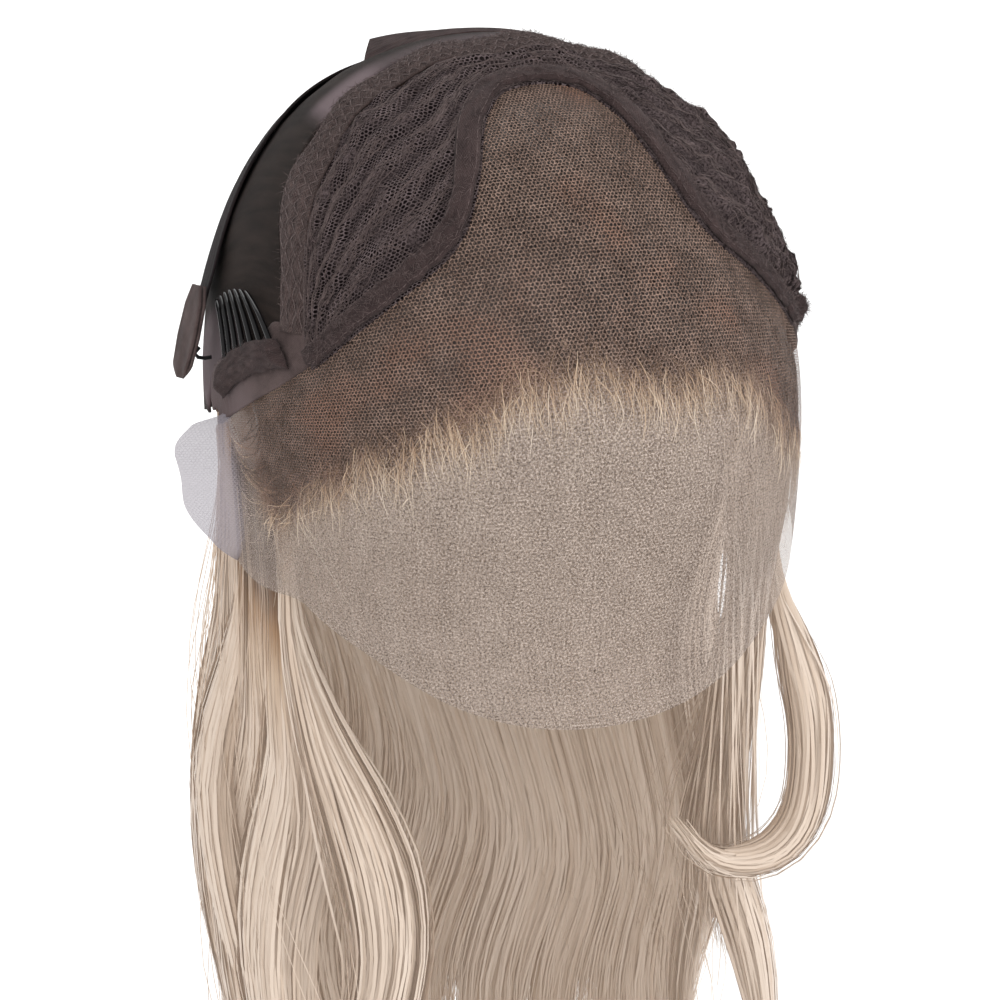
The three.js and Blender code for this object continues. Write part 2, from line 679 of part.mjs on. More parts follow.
// Centre of the hanging hair at a turn and a height: it follows the cap, then flares and waves
function fallPoint(turn, z, inset, out, phase) {
  const release = fromTable(HAIR_FALL, "turn", "release", turn);
  const fallen = Math.max(release - z, 0);
  const loose = smooth(fallen, 0, WAVE.looseAfter);
  const point = outlinePoint(-turn, Math.max(z, release), inset);
  const bearing = new Vector3(point.x, point.y, 0).normalize();
  const cycle = (2 * Math.PI * fallen) / WAVE.length + phase;
  const flare = fromTable(HAIR_FALL, "turn", "flare", turn) + WAVE.puff * Math.cos(cycle) + out;
  const along = new Vector3().crossVectors(Z_AXIS, bearing);
  point.addScaledVector(bearing, loose * flare).addScaledVector(along, loose * WAVE.sway * Math.sin(cycle));
  return { point: point.setZ(z), bearing, along, loose };
}

// Wavy curtain of hair parted into locks by furrows, each lock ending in a point of its own
function hairCurtain() {
  const [first, last] = [HAIR_FALL[0].turn, HAIR_FALL.at(-1).turn];
  const capShare = CURTAIN.rowsInCap / CURTAIN.rows;
  const face = (outer) => (u, v) => {
    const turn = mix(first, last, u);
    const lock = u * CURTAIN.locks;
    const body = Math.abs(Math.sin(Math.PI * lock));
    const end = fromTable(HAIR_FALL, "turn", "tip", turn);
    const tip = end + LOCK_TIPS.notch * (1 - body) + LOCK_TIPS.uneven * Math.sin(2.4 * lock);
    const release = fromTable(HAIR_FALL, "turn", "release", turn);
    const root = fromTable(HAIR_FALL, "turn", "root", turn);
    const hung = (v - capShare) / (1 - capShare);
    const z = hung < 0 ? mix(root, release, v / capShare) : mix(release, tip, hung);
    const { point, bearing, loose } = fallPoint(turn, z, CURTAIN.inset, 0, 1.6 * Math.sin(0.45 * lock));
    const taper = 1 - smooth(hung, 0.6, 1);
    const outwards = loose * taper * CURTAIN.ridge * body;
    const inwards = mix(CURTAIN.rootThick, mix(LOCK_TIPS.thick, CURTAIN.thick, taper), loose);
    return point.addScaledVector(bearing, outer ? outwards : -inwards);
  };
  return wall(CURTAIN.locks * CURTAIN.perLock, CURTAIN.rows, face(true), face(false));
}

function hangingLock(row) {
  const root = fromTable(HAIR_FALL, "turn", "root", row.turn);
  const rings = Array.from({ length: LOCK.rings + 1 }, (_, r) => {
    const share = r / LOCK.rings;
    const z = mix(root, row.tip, share);
    const fall = fallPoint(row.turn, z, CURTAIN.inset + 2, row.out, radians(row.phase));
    const taper = mix(1, LOCK.tipShare, smooth(share, 0.72, 1.02));
    const wide = mix(LOCK.rootWide, row.wide, fall.loose) * taper;
    const thick = mix(LOCK.rootThick, row.thick, fall.loose) * taper;
    return ringAbout(fall.point, fall.along, fall.bearing, wide, thick, LOCK.sides);
  });
  return loft(rings);
}

// Lock along a route of its own, thin at its root and tapering to its tip
function routedLock(table, size) {
  const route = new THREE.CatmullRomCurve3(table.map(({ x, y, z }) => new Vector3(x, y, z)));
  const rings = Array.from({ length: size.steps + 1 }, (_, r) => {
    const share = r / size.steps;
    const run = route.getTangentAt(share);
    const thickWay = new Vector3().crossVectors(run, Y_AXIS).normalize();
    const wideWay = new Vector3().crossVectors(thickWay, run);
    const grown = smooth(share, size.grownFrom, size.grownTo);
    const taper = mix(1, LOCK.tipShare, smooth(share, 0.7, 1));
    const wide = mix(LOCK.rootWide * 0.6, size.wide, grown) * taper;
    const thick = mix(LOCK.rootThick, size.thick, grown) * taper;
    return ringAbout(route.getPointAt(share), wideWay, thickWay, wide, thick, ROUTED_SIDES);
  });
  return loft(rings);
}

// All of the long hair as one body: the backing in the cap, the curtain and the locks that hang free of it
function hair() {
  const routed = [routedLock(CHEEK_ROUTE, CHEEK_LOCK), routedLock(CURL_ROUTE, CURL_LOCK)];
  piece("hair", fuse([hairBacking(), hairCurtain(), ...FREE_LOCKS.map(hangingLock), ...routed]), BLONDE);
}

frontLace();
laceHair();
crownPanel();
laceBinding();
crownSeam();
backPanel();
for (const [hand, label] of [[-1, "left"], [1, "right"]]) {
  earTab(`ear_tab_${label}`, hand);
  combAndTape(hand, label);
  strapEnd(hand, label);
}
elasticStrap();
crownTape();
hair();

export default wig;
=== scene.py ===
"""Dresses the lace wig: net, sewn wefts, cloth, combs and long wavy hair. Sizes are in millimetres."""

import logging
from dataclasses import dataclass, field
from enum import Enum
from typing import Callable, Sequence, Union

import bpy
import numpy as np
from mathutils import Matrix, Vector


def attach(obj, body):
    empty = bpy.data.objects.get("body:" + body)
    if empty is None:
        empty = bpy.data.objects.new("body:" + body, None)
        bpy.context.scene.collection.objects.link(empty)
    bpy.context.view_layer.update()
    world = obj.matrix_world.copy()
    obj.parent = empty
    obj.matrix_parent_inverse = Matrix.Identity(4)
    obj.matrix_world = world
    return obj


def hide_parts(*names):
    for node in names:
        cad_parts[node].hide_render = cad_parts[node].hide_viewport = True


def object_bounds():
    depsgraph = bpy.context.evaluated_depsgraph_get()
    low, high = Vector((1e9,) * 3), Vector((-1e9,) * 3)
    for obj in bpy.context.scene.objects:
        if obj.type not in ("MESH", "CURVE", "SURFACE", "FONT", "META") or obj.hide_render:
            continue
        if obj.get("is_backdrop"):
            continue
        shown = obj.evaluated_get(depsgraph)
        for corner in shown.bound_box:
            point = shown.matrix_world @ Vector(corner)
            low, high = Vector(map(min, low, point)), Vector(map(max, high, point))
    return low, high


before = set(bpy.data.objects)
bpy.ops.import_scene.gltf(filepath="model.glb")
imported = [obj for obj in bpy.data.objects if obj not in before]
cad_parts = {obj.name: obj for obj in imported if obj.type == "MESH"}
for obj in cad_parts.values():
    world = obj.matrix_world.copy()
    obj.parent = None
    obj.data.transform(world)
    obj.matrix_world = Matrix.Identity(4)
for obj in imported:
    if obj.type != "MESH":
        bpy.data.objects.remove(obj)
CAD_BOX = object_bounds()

LOG = logging.getLogger("lace_wig")
MM = 0.001
BODY = "root"
CLOTH_GLOSS = 0.12
NET_GLOSS = 0.04
HEX_RISE = 0.8660254
FULL_TURN = 6.28
LACE_MIDDLE = 25.0
GROWN_AT_HAIRLINE = 22.0
GROWN_IN_VIEW = 14.0
OLDEST_ROOT = 43.9
OLDEST_HAIR = 59.9
Colour = tuple[float, float, float, float]
WHITE: Colour = (1.0, 1.0, 1.0, 1.0)
Array = np.ndarray
Rng = np.random.Generator
Pair = tuple[Array, Array]
Piece = bpy.types.Object
Socket = bpy.types.NodeSocket
Material = bpy.types.Material
Input = Union[float, tuple, Socket]
Place = Callable[[Array, Array], Pair]
Spot = Callable[[Array, Array, Array], Pair]


def smooth(x: Array, low: float, high: float) -> Array:
    """Eased step from 0 at low to 1 at high."""
    t = np.clip((x - low) / (high - low), 0.0, 1.0)
    return t * t * (3.0 - 2.0 * t)


def mix(start: Array, end: Array, share: Array) -> Array:
    """Straight blend from start to end."""
    return start + (end - start) * share


def unit(v: Array) -> Array:
    """Vectors of length one."""
    return v / np.maximum(np.linalg.norm(v, axis=-1, keepdims=True), 1e-9)


def run_length(path: Array) -> Array:
    """Distance along each strand from its first point."""
    steps = np.linalg.norm(np.diff(path, axis=1), axis=-1)
    return np.concatenate([np.zeros((len(path), 1)), steps.cumsum(1)], 1)


def ripple(x: Array, y: Array, seed: int) -> Array:
    """Smooth random relief from -1 to 1 with features about one unit across.

    Args:
        x: First coordinate.
        y: Second coordinate.
        seed: Picks the relief.

    Returns:
        The relief at each place.
    """
    rng = np.random.default_rng(seed)
    total = np.zeros(np.broadcast(x, y).shape)
    for _ in range(9):
        way = rng.uniform(0.0, 2.0 * np.pi)
        pace = rng.uniform(2.0, 6.5)
        shift = rng.uniform(0.0, 2.0 * np.pi)
        total = total + np.sin(pace * (x * np.cos(way) + y * np.sin(way)) + shift)
    return total / 5.0


def srgb(red: int, green: int, blue: int) -> Colour:
    """Scene colour of a screen colour.

    Args:
        red: From 0 to 255.
        green: The same.
        blue: The same.

    Returns:
        Linear red, green and blue, with a full alpha.
    """
    parts = [v / 255.0 for v in (red, green, blue)]
    linear = [v / 12.92 if v <= 0.04045 else ((v + 0.055) / 1.055) ** 2.4 for v in parts]
    return (linear[0], linear[1], linear[2], 1.0)


class Cut(Enum):
    """Cut lines of the cap and courses of the hair, each a curve through its own rows."""

    LACE_SEAM = ((0, 84), (5, 83), (10, 77), (14, 66), (18, 57.5), (22, 53.5), (28, 50.5), (38, 46.5),
                 (50, 42), (64, 40), (86, 40))
    LACE_EDGE = ((0, -29.5), (20, -29), (35, -28), (50, -31), (69, -34))
    LACE_MARGIN = ((0, 0.5), (0.2, 9), (0.45, 18), (0.7, 19), (0.9, 12), (1, 2))
    HAIRLINE = ((0, 31), (12, 31), (25, 27), (36, 21), (45, 15), (52, 9), (58, 1), (66, -10), (74, -8))
    BAND_FRONT = ((0, 95.5), (15, 95), (26, 92), (36, 84), (44, 69), (50, 51))
    BAND_REAR = ((0, 104), (15, 103), (26, 101), (36, 97), (46, 87), (51, 70), (55, 55.5))
    EAR_TAB_TOP = ((51, 50), (56, 56), (62, 60), (68, 66), (74, 85), (80, 125), (86, 150))
    NAPE_EDGE = ((0, 207), (20, 207), (40, 205), (55, 203), (68, 200), (80, 192))
    STRAP_FRONT = ((0, 133), (20, 129), (35, 122), (50, 121), (60, 117), (68, 111))
    STRAP_REAR = ((0, 149), (20, 147), (35, 145), (50, 143), (60, 140), (68, 136))
    STRAP_LIFT = ((0, 0.6), (20, 0.5), (35, 0.4), (50, 0.4), (60, 1.3), (68, 3.4))
    FALL_ROOT = ((66, -42), (85, -62), (105, -90), (135, -108), (180, -124), (225, -108), (250, -90),
                 (264, -82))
    FALL_RELEASE = ((66, -134), (85, -132), (105, -116), (135, -134), (180, -150), (225, -134), (250, -118),
                    (264, -122))
    FALL_TIP = ((66, -372), (85, -384), (105, -394), (135, -404), (180, -410), (225, -406), (250, -398),
                (264, -390))
    FALL_FLARE = ((66, -1), (85, 2), (105, 3), (135, 4), (180, 3), (225, 3.001), (250, -2), (264, -5))

    def at(self, x: Array) -> Array:
        """Smooth curve through the rows that never overshoots them, flat beyond its ends.

        Args:
            x: Where the curve is read.

        Returns:
            Its values there.
        """
        keys, values = (np.array(column, float) for column in zip(*self.value))
        rise = np.diff(values) / np.diff(keys)
        slope = np.zeros(len(keys))
        both = rise[:-1] * rise[1:]
        inner = np.zeros(len(keys) - 2)
        same = both > 0
        inner[same] = 2.0 * both[same] / (rise[:-1] + rise[1:])[same]
        slope[1:-1] = inner
        x = np.clip(np.asarray(x, float), keys[0], keys[-1])
        i = np.clip(np.searchsorted(keys, x, side="right") - 1, 0, len(keys) - 2)
        span = keys[i + 1] - keys[i]
        t = (x - keys[i]) / span
        ends = values[i] * (1 + 2 * t) * (1 - t) ** 2 + values[i + 1] * t * t * (3 - 2 * t)
        return ends + span * t * (1 - t) * (slope[i] * (1 - t) - slope[i + 1] * t)

    def across(self, side: Array) -> Array:
        """The curve on both sides of the centre plane."""
        return self.at(np.abs(side))


class Hand(Enum):
    """The two sides of the cap."""

    LEFT = -1
    RIGHT = 1

    @property
    def label(self) -> str:
        """Name used on the pieces of this side."""
        return self.name.lower()


class Hold(Enum):
    """How a sheet of cloth is held."""

    STRETCHED = "stretched"
    FOLDED = "folded"
    LAID = "laid"


@dataclass(frozen=True)
class HeadForm:
    """Rounded form that the cap is stretched over."""

    half_width: float = 82.0
    front: float = 95.0
    back: float = 98.0
    above: float = 103.0
    below: float = 175.0
    power: float = 2.15
    centre_z: float = -98.0
    lean: float = 4.0
    radius: float = 95.0

    def halves(self, p: Array) -> Array:
        """Half sizes of the form on the side of the centre where each point lies.

        Args:
            p: Points, measured from the form's centre.

        Returns:
            Half width, depth and height for each.
        """
        y = np.where(p[..., 1] < 0, self.front, self.back)
        z = np.where(p[..., 2] > 0, self.above, self.below)
        return np.stack([np.full(y.shape, self.half_width), y, z], -1)

    def gauge(self, p: Array) -> Array:
        """How far out each point lies, 1 on the surface."""
        return np.sum(np.abs(p / self.halves(p)) ** self.power, -1) ** (1.0 / self.power)

    def outward(self, p: Array) -> Array:
        """Normals of the form, for points measured from its centre."""
        half = self.halves(p)
        return unit(np.sign(p) * np.abs(p) ** (self.power - 1.0) / half**self.power)

    def direction(self, side: Array, sweep: Array) -> Array:
        """Bearing of a place from the middle of an upright head."""
        s, w = np.radians(side), np.radians(sweep)
        return np.stack([np.sin(s), -np.cos(s) * np.cos(w), np.cos(s) * np.sin(w)], -1)

    def lifted(self, way: Array, lift: Array) -> Pair:
        """Points of the form in given bearings, raised along its normal.

        Args:
            way: Bearings from the form's centre.
            lift: Height over the surface.

        Returns:
            The points and the normals there.
        """
        p = way / self.gauge(way)[..., None]
        normal = self.outward(p)
        p = p + normal * np.asarray(lift, float)[..., None]
        return p + np.array([0.0, 0.0, self.centre_z]), normal

    def spot(self, side: Array, sweep: Array, lift: Array) -> Pair:
        """Points of the leaning cap.

        Args:
            side: Angle from the centre plane.
            sweep: Angle from the forehead over the crown.
            lift: Height over the surface.

        Returns:
            The points and the normals there.
        """
        side, sweep, lift = np.broadcast_arrays(*(np.asarray(v, float) for v in (side, sweep, lift)))
        d = self.direction(side, sweep)
        lean = np.radians(self.lean)
        x = d[..., 0] * np.cos(lean) + d[..., 2] * np.sin(lean)
        z = d[..., 2] * np.cos(lean) - d[..., 0] * np.sin(lean)
        return self.lifted(np.stack([x, d[..., 1], z], -1), lift)

    def flat(self, side: Array, sweep: Array, middle: float) -> Array:
        """Place on the cloth before it was stretched over the form.

        Args:
            side: Angle from the centre plane.
            sweep: Angle from the forehead over the crown.
            middle: Sweep of the cloth's own middle.

        Returns:
            Distances across and up the cloth, with a zero as third number.
        """
        side, sweep = np.broadcast_arrays(np.asarray(side, float), np.asarray(sweep, float))
        d = self.direction(side, sweep)
        m = np.radians(middle)
        up = d @ np.array([0.0, np.sin(m), np.cos(m)])
        centre = d @ np.array([0.0, -np.cos(m), np.sin(m)])
        plane = np.stack([d[..., 0], up], -1)
        reach = np.arctan2(np.linalg.norm(plane, axis=-1), centre) * self.radius
        return np.concatenate([unit(plane) * reach[..., None], np.zeros(side.shape + (1,))], -1)

    def outline(self, bearing: Array, z: Array, inset: Array) -> Array:
        """Points on the level outline of the form.

        Args:
            bearing: Level directions from its axis.
            z: Heights.
            inset: How far inside the surface.

        Returns:
            The points.
        """
        level = z - self.centre_z
        height = np.abs(level / np.where(level > 0, self.above, self.below))
        share = np.maximum(1.0 - height**self.power, 0.0) ** (1.0 / self.power)
        reach = share / self.gauge(bearing) - inset
        return np.stack([bearing[..., 0] * reach, bearing[..., 1] * reach, z], -1)


class Mixing(Enum):
    """How two colours mix."""

    PLAIN = "MIX"
    MULTIPLIED = "MULTIPLY"


class Recipe:
    """A material being made, with short ways to add and join its nodes."""

    def __init__(self, name: str) -> None:
        """Starts a material with one surface shader.

        Args:
            name: Material's name.
        """
        self.material = bpy.data.materials.new(name)
        self.material.use_nodes = True
        self.tree = self.material.node_tree
        self.tree.nodes.clear()
        self.surface = self.node("ShaderNodeBsdfPrincipled")
        out = self.node("ShaderNodeOutputMaterial")
        self.tree.links.new(self.surface.outputs[0], out.inputs[0])

    def node(self, kind: str, **settings: Union[str, float, bool]) -> bpy.types.Node:
        """Adds a node.

        Args:
            kind: Name of its type.
            settings: Its options.

        Returns:
            The new node.
        """
        made = self.tree.nodes.new(kind)
        for key, value in settings.items():
            setattr(made, key, value)
        return made

    def feed(self, socket: Socket, value: Input) -> None:
        """Joins a socket to another, or sets its value.

        Args:
            socket: Input that is fed.
            value: Another socket, a number or a row of numbers.
        """
        if isinstance(value, Socket):
            self.tree.links.new(value, socket)
        else:
            socket.default_value = value

    def fill(self, made: bpy.types.Node, values: Sequence[Input]) -> bpy.types.Node:
        """Feeds the first inputs of a node in order.

        Args:
            made: The node.
            values: One for each input.

        Returns:
            The same node.
        """
        for socket, value in zip(made.inputs, values):
            self.feed(socket, value)
        return made

    def name_inputs(self, made: bpy.types.Node, **values: Input) -> bpy.types.Node:
        """Feeds inputs of a node by name, with underscores for spaces.

        Args:
            made: The node.
            values: One for each named input.

        Returns:
            The same node.
        """
        for key, value in values.items():
            self.feed(made.inputs[key.replace("_", " ")], value)
        return made

    def set(self, **inputs: Input) -> None:
        """Sets or joins inputs of the surface shader, named with underscores for spaces."""
        self.name_inputs(self.surface, **inputs)

    def attribute(self, name: str) -> bpy.types.Node:
        """Reads one of the piece's own attributes."""
        return self.node("ShaderNodeAttribute", attribute_name=name)

    def math(self, operation: str, *values: Input) -> Socket:
        """Works on single numbers."""
        return self.fill(self.node("ShaderNodeMath", operation=operation), values).outputs[0]

    def times(self, first: Input, second: Input) -> Socket:
        """Product of two numbers."""
        return self.math("MULTIPLY", first, second)

    def plus(self, first: Input, second: Input) -> Socket:
        """Sum of two numbers."""
        return self.math("ADD", first, second)

    def vector(self, operation: str, *values: Input) -> Socket:
        """Works on vectors; lengths and dot products come out as one number."""
        made = self.fill(self.node("ShaderNodeVectorMath", operation=operation), values)
        return made.outputs["Value" if operation in ("LENGTH", "DOT_PRODUCT") else "Vector"]

    def parts(self, vector: Input) -> list[Socket]:
        """The three numbers of a vector."""
        return list(self.fill(self.node("ShaderNodeSeparateXYZ"), (vector,)).outputs)

    def noise(self, where: Input, scale: float, detail: float = 2.0, roughness: float = 0.5) -> Socket:
        """Cloudy noise from 0 to 1.

        Args:
            where: Coordinates it is read at.
            scale: Features for each unit.
            detail: Finer layers added.
            roughness: Weight of the finer layers.

        Returns:
            The noise.
        """
        made = self.node("ShaderNodeTexNoise")
        self.name_inputs(made, Vector=where, Scale=scale, Detail=detail, Roughness=roughness)
        return made.outputs["Fac"]

    def step(self, value: Input, low: float, high: float) -> Socket:
        """Eased step from 0 at low to 1 at high."""
        made = self.node("ShaderNodeMapRange", interpolation_type="SMOOTHSTEP")
        return self.fill(made, (value, low, high, 0.0, 1.0)).outputs[0]

    def blend(self, share: Input, first: Input, second: Input, way: Mixing = Mixing.PLAIN) -> Socket:
        """Mixes two colours.

        Args:
            share: Weight of the second one.
            first: Colour at 0.
            second: Colour at 1.
            way: How they mix.

        Returns:
            The mixed colour.
        """
        made = self.node("ShaderNodeMix", data_type="RGBA", blend_type=way.value)
        for index, value in ((0, share), (6, first), (7, second)):
            self.feed(made.inputs[index], value)
        return made.outputs[2]

    def ramp(self, share: Input, stops: Sequence[tuple[float, Colour]]) -> Socket:
        """Colour read off a row of stops.

        Args:
            share: Place along the row, from 0 to 1.
            stops: Place and colour of each stop, first to last.

        Returns:
            The colour.
        """
        made = self.node("ShaderNodeValToRGB")
        row = made.color_ramp.elements
        while len(row) < len(stops):
            row.new(1.0)
        for element, (place, colour) in zip(row, stops):
            element.position = place
            element.color = colour
        self.feed(made.inputs[0], share)
        return made.outputs[0]

    def bump(self, height: Input, depth: float, strength: float = 1.0) -> None:
        """Raises the surface by a height field.

        Args:
            height: The field.
            depth: Rise for each unit of it.
            strength: How much of it shows.
        """
        made = self.node("ShaderNodeBump")
        self.name_inputs(made, Height=height, Distance=depth * MM, Strength=strength)
        self.set(Normal=made.outputs[0])

    def warp(self, where: Input, scale: float, reach: float) -> Socket:
        """Cloth coordinates pulled about, so that a net is not too even.

        Args:
            where: Cloth coordinates in millimetres.
            scale: Frequency of the pull.
            reach: Its size.

        Returns:
            The pulled coordinates.
        """
        cloud = self.name_inputs(self.node("ShaderNodeTexNoise"), Vector=where, Scale=scale)
        pull = self.vector("SUBTRACT", cloud.outputs["Color"], (0.5, 0.5, 0.5))
        return self.vector("ADD", where, self.vector("MULTIPLY", pull, (reach, reach, 0.0)))

    def net(self, where: Input, pitch: float) -> Socket:
        """Six-sided net: 0 in the middle of a hole, 0.5 on the line between two holes.

        Args:
            where: Cloth coordinates in millimetres.
            pitch: Distance between holes.

        Returns:
            The field.
        """
        p = self.vector("SCALE", where)
        self.feed(p.node.inputs["Scale"], 1.0 / pitch)
        high = (0.5, HEX_RISE, 0.5)
        low = (-0.5, -HEX_RISE, -0.5)
        slant = (0.5, HEX_RISE, 0.0)
        first = self.vector("WRAP", p, high, low)
        second = self.vector("WRAP", self.vector("ADD", p, slant), high, low)
        nearer = self.math("LESS_THAN", self.vector("LENGTH", first), self.vector("LENGTH", second))
        nearest = self.node("ShaderNodeMix", data_type="VECTOR")
        for index, value in ((0, nearer), (4, second), (5, first)):
            self.feed(nearest.inputs[index], value)
        away = self.vector("ABSOLUTE", nearest.outputs[1])
        return self.math("MAXIMUM", self.vector("DOT_PRODUCT", away, slant), self.parts(away)[0])


@dataclass(frozen=True)
class LaceFinish:
    """Sheer brown net, open over the roots, filmy below the hairline and milky in its loose margin."""

    name: str = "sheer_lace"
    pitch: float = 1.1
    thread: float = 0.15
    film: float = 0.42
    rooted: tuple[Colour, Colour] = (srgb(68, 53, 46), srgb(146, 123, 111))
    warm: Colour = srgb(140, 106, 90)
    bare: tuple[Colour, Colour] = (srgb(70, 60, 54), srgb(186, 171, 161))
    milky: Colour = srgb(146, 140, 147)

    def make(self) -> Material:
        """The finished material."""
        r = Recipe(self.name)
        cloth = r.attribute("cloth").outputs["Vector"]
        bare = r.attribute("bare").outputs["Fac"]
        veil = r.attribute("veil").outputs["Fac"]
        speck = r.step(r.noise(cloth, 1.5, 3.0, 0.75), 0.36, 0.64)
        cloud = r.step(r.noise(cloth, 0.1, 3.0, 0.6), 0.3, 0.7)
        wander = r.plus(r.times(speck, 0.65), r.times(cloud, 0.35))
        patch = r.step(r.noise(cloth, 0.03, 2.0), 0.5, 0.66)
        line = r.net(r.warp(cloth, 0.9, 0.9), self.pitch)
        thread = r.step(line, 0.5 - self.thread, 0.5 - 0.5 * self.thread)
        rooted = r.blend(r.times(patch, 0.5), r.blend(wander, *self.rooted), self.warm)
        grain = r.plus(r.times(speck, 0.9), r.times(cloud, 0.1))
        colour = r.blend(bare, rooted, r.blend(grain, *self.bare))
        clogged = r.times(r.step(r.noise(cloth, 1.1, 3.0, 0.7), 0.44, 0.7), 0.5)
        film = r.math("MAXIMUM", r.times(bare, self.film), r.times(veil, 0.72))
        film = r.math("MAXIMUM", film, clogged)
        shown = r.times(thread, r.math("SUBTRACT", 1.0, r.times(veil, 0.14)))
        r.set(Base_Color=r.blend(veil, colour, self.milky), Alpha=r.math("MAXIMUM", shown, film))
        r.set(Roughness=0.8, Specular_IOR_Level=CLOTH_GLOSS)
        r.bump(line, 0.25, 0.6)
        return r.material


@dataclass(frozen=True)
class WeftNetFinish:
    """Brown net pressed over sewn wefts, open in places and matted in others, its holes near black where the
    dark wefts behind lie in painted shade, and with painted shade in the grooves between the weft rows.
    """

    name: str = "weft_net"
    pitch: float = 1.2
    matted: Colour = srgb(108, 95, 95)
    clotted: Colour = srgb(24, 18, 19)
    thread: Colour = srgb(122, 108, 109)
    # hole: the dark wefts seen through the net, with painted shade over them
    hole: Colour = srgb(12, 6, 6)
    # painted shade in the grooves between the weft rows
    painted_groove_shade: Colour = srgb(22, 16, 17)

    def make(self) -> Material:
        """The finished material."""
        r = Recipe(self.name)
        cloth = r.attribute("cloth").outputs["Vector"]
        stretched = r.vector("MULTIPLY", r.warp(r.warp(cloth, 0.07, 5.0), 0.6, 0.5), (1.0, 1.3, 1.0))
        line = r.net(stretched, self.pitch)
        hole = r.math("SUBTRACT", 1.0, r.step(line, 0.3, 0.45))
        patch = r.step(r.noise(cloth, 0.11, 4.0, 0.7), 0.38, 0.54)
        fuzz = r.noise(r.warp(cloth, 0.3, 2.5), 1.3, 4.0, 0.75)
        matted = r.blend(r.step(fuzz, 0.34, 0.66), self.clotted, self.matted)
        # the holes are painted near black: dark wefts behind, in painted shade
        netted = r.blend(hole, self.thread, self.hole)
        # painted shade: darker in the grooves between the weft rows
        low = r.attribute("painted_groove_shade").outputs["Fac"]
        open_net = r.times(patch, r.attribute("netted").outputs["Fac"])
        colour = r.blend(open_net, matted, netted)
        colour = r.blend(r.times(low, 0.42), colour, self.painted_groove_shade)
        r.set(Base_Color=colour, Roughness=0.9, Specular_IOR_Level=NET_GLOSS)
        height = r.plus(r.times(line, open_net), r.times(fuzz, 0.8))
        r.bump(height, 0.9, 1.2)
        return r.material


@dataclass(frozen=True)
class ClothFinish:
    """Plain brown cloth with a fine weave, soft streaks and a little fuzz."""

    name: str
    dark: Colour
    light: Colour
    pitch: float = 0.55
    streak: tuple[float, float] = (0.25, 0.06)
    rough: float = 0.8
    weave: float = 0.12
    sheen: float = 0.2
    thin: Union[Colour, None] = None

    def make(self) -> Material:
        """The finished material."""
        r = Recipe(self.name)
        cloth = r.attribute("cloth").outputs["Vector"]
        x, y, _ = r.parts(cloth)
        turn = 2.0 * np.pi / self.pitch
        over = r.math("SINE", r.times(x, turn))
        under = r.math("SINE", r.times(y, turn))
        weave = r.times(over, under)
        run = r.vector("MULTIPLY", cloth, (self.streak[0], self.streak[1], 1.0))
        streaks = r.noise(run, 1.0, 4.0, 0.65)
        fuzz = r.noise(cloth, 2.6, 3.0, 0.7)
        share = r.plus(r.times(streaks, 0.75), r.times(fuzz, 0.35))
        share = r.plus(share, r.times(weave, 0.08))
        colour = r.blend(r.step(share, 0.3, 0.8), self.dark, self.light)
        if self.thin:
            colour = r.blend(r.attribute("pale").outputs["Fac"], colour, self.thin)
        r.set(Base_Color=colour, Roughness=self.rough)
        r.set(Sheen_Weight=self.sheen, Specular_IOR_Level=CLOTH_GLOSS)
        height = r.plus(r.times(weave, 0.5), fuzz)
        r.bump(height, self.weave, 1.0)
        return r.material


@dataclass(frozen=True)
class HairFinish:
    """Fine fibre, dark at its root and paler with length, each strand of a slightly different tone, with a
    painted glow: it emits its own colour to lift its shade, standing in for light scattered through pale
    hair.
    """

    name: str
    stops: tuple[tuple[float, Colour], ...]
    reach: float = 60.0
    rough: float = 0.42
    deep: float = 0.8
    painted_glow: float = 0.15
    gloss: float = 0.4
    sheen: float = 0.1

    def make(self) -> Material:
        """The finished material."""
        r = Recipe(self.name)
        fibre = r.attribute("fibre").outputs["Vector"]
        grown = r.attribute("grown").outputs["Fac"]
        tone = r.attribute("tone").outputs["Fac"]
        colour = r.ramp(r.math("DIVIDE", grown, self.reach), self.stops)
        streak = r.noise(r.vector("MULTIPLY", fibre, (3.2, 0.035, 1.0)), 1.0, 3.0, 0.6)
        # tone differs at random from strand to strand; on the core, the lining and its bed it is also lowered
        # as painted shade
        share = r.plus(r.times(tone, 0.65), r.times(streak, 0.55))
        shadow = (self.deep, self.deep * 0.93, self.deep * 0.86, 1.0)
        shade = r.ramp(r.step(share, 0.18, 0.95), ((0.0, shadow), (1.0, WHITE)))
        dyed = r.blend(1.0, colour, shade, Mixing.MULTIPLIED)
        # painted glow: the hair emits its own colour, which lifts its shade like light scattered through it
        r.set(Base_Color=dyed, Emission_Color=dyed, Emission_Strength=self.painted_glow)
        r.set(Roughness=self.rough, Specular_IOR_Level=self.gloss, Sheen_Weight=self.sheen)
        r.bump(streak, 0.12, 0.5)
        return r.material


@dataclass(frozen=True)
class GlossFinish:
    """Moulded black plastic or coated wire."""

    name: str
    colour: Colour
    rough: float
    metal: float = 0.0
    gloss: float = 0.5

    def make(self) -> Material:
        """The finished material."""
        r = Recipe(self.name)
        where = r.node("ShaderNodeTexCoord").outputs["Object"]
        cloud = r.noise(where, 900.0, 3.0)
        worn = r.noise(where, 160.0, 2.0)
        r.set(Base_Color=r.blend(worn, self.colour, srgb(20, 19, 20)))
        r.set(Metallic=self.metal, Specular_IOR_Level=self.gloss)
        r.set(Roughness=r.plus(self.rough, r.times(cloud, 0.12)))
        r.bump(cloud, 0.03, 0.4)
        return r.material


@dataclass(frozen=True)
class FloorFinish:
    """Pale matt studio paper."""

    name: str = "studio_paper"

    def make(self) -> Material:
        """The finished material."""
        r = Recipe(self.name)
        grain = r.noise(r.node("ShaderNodeTexCoord").outputs["Object"], 40.0, 2.0)
        r.set(Base_Color=r.blend(grain, srgb(248, 248, 248), srgb(252, 252, 252)), Roughness=0.95)
        return r.material


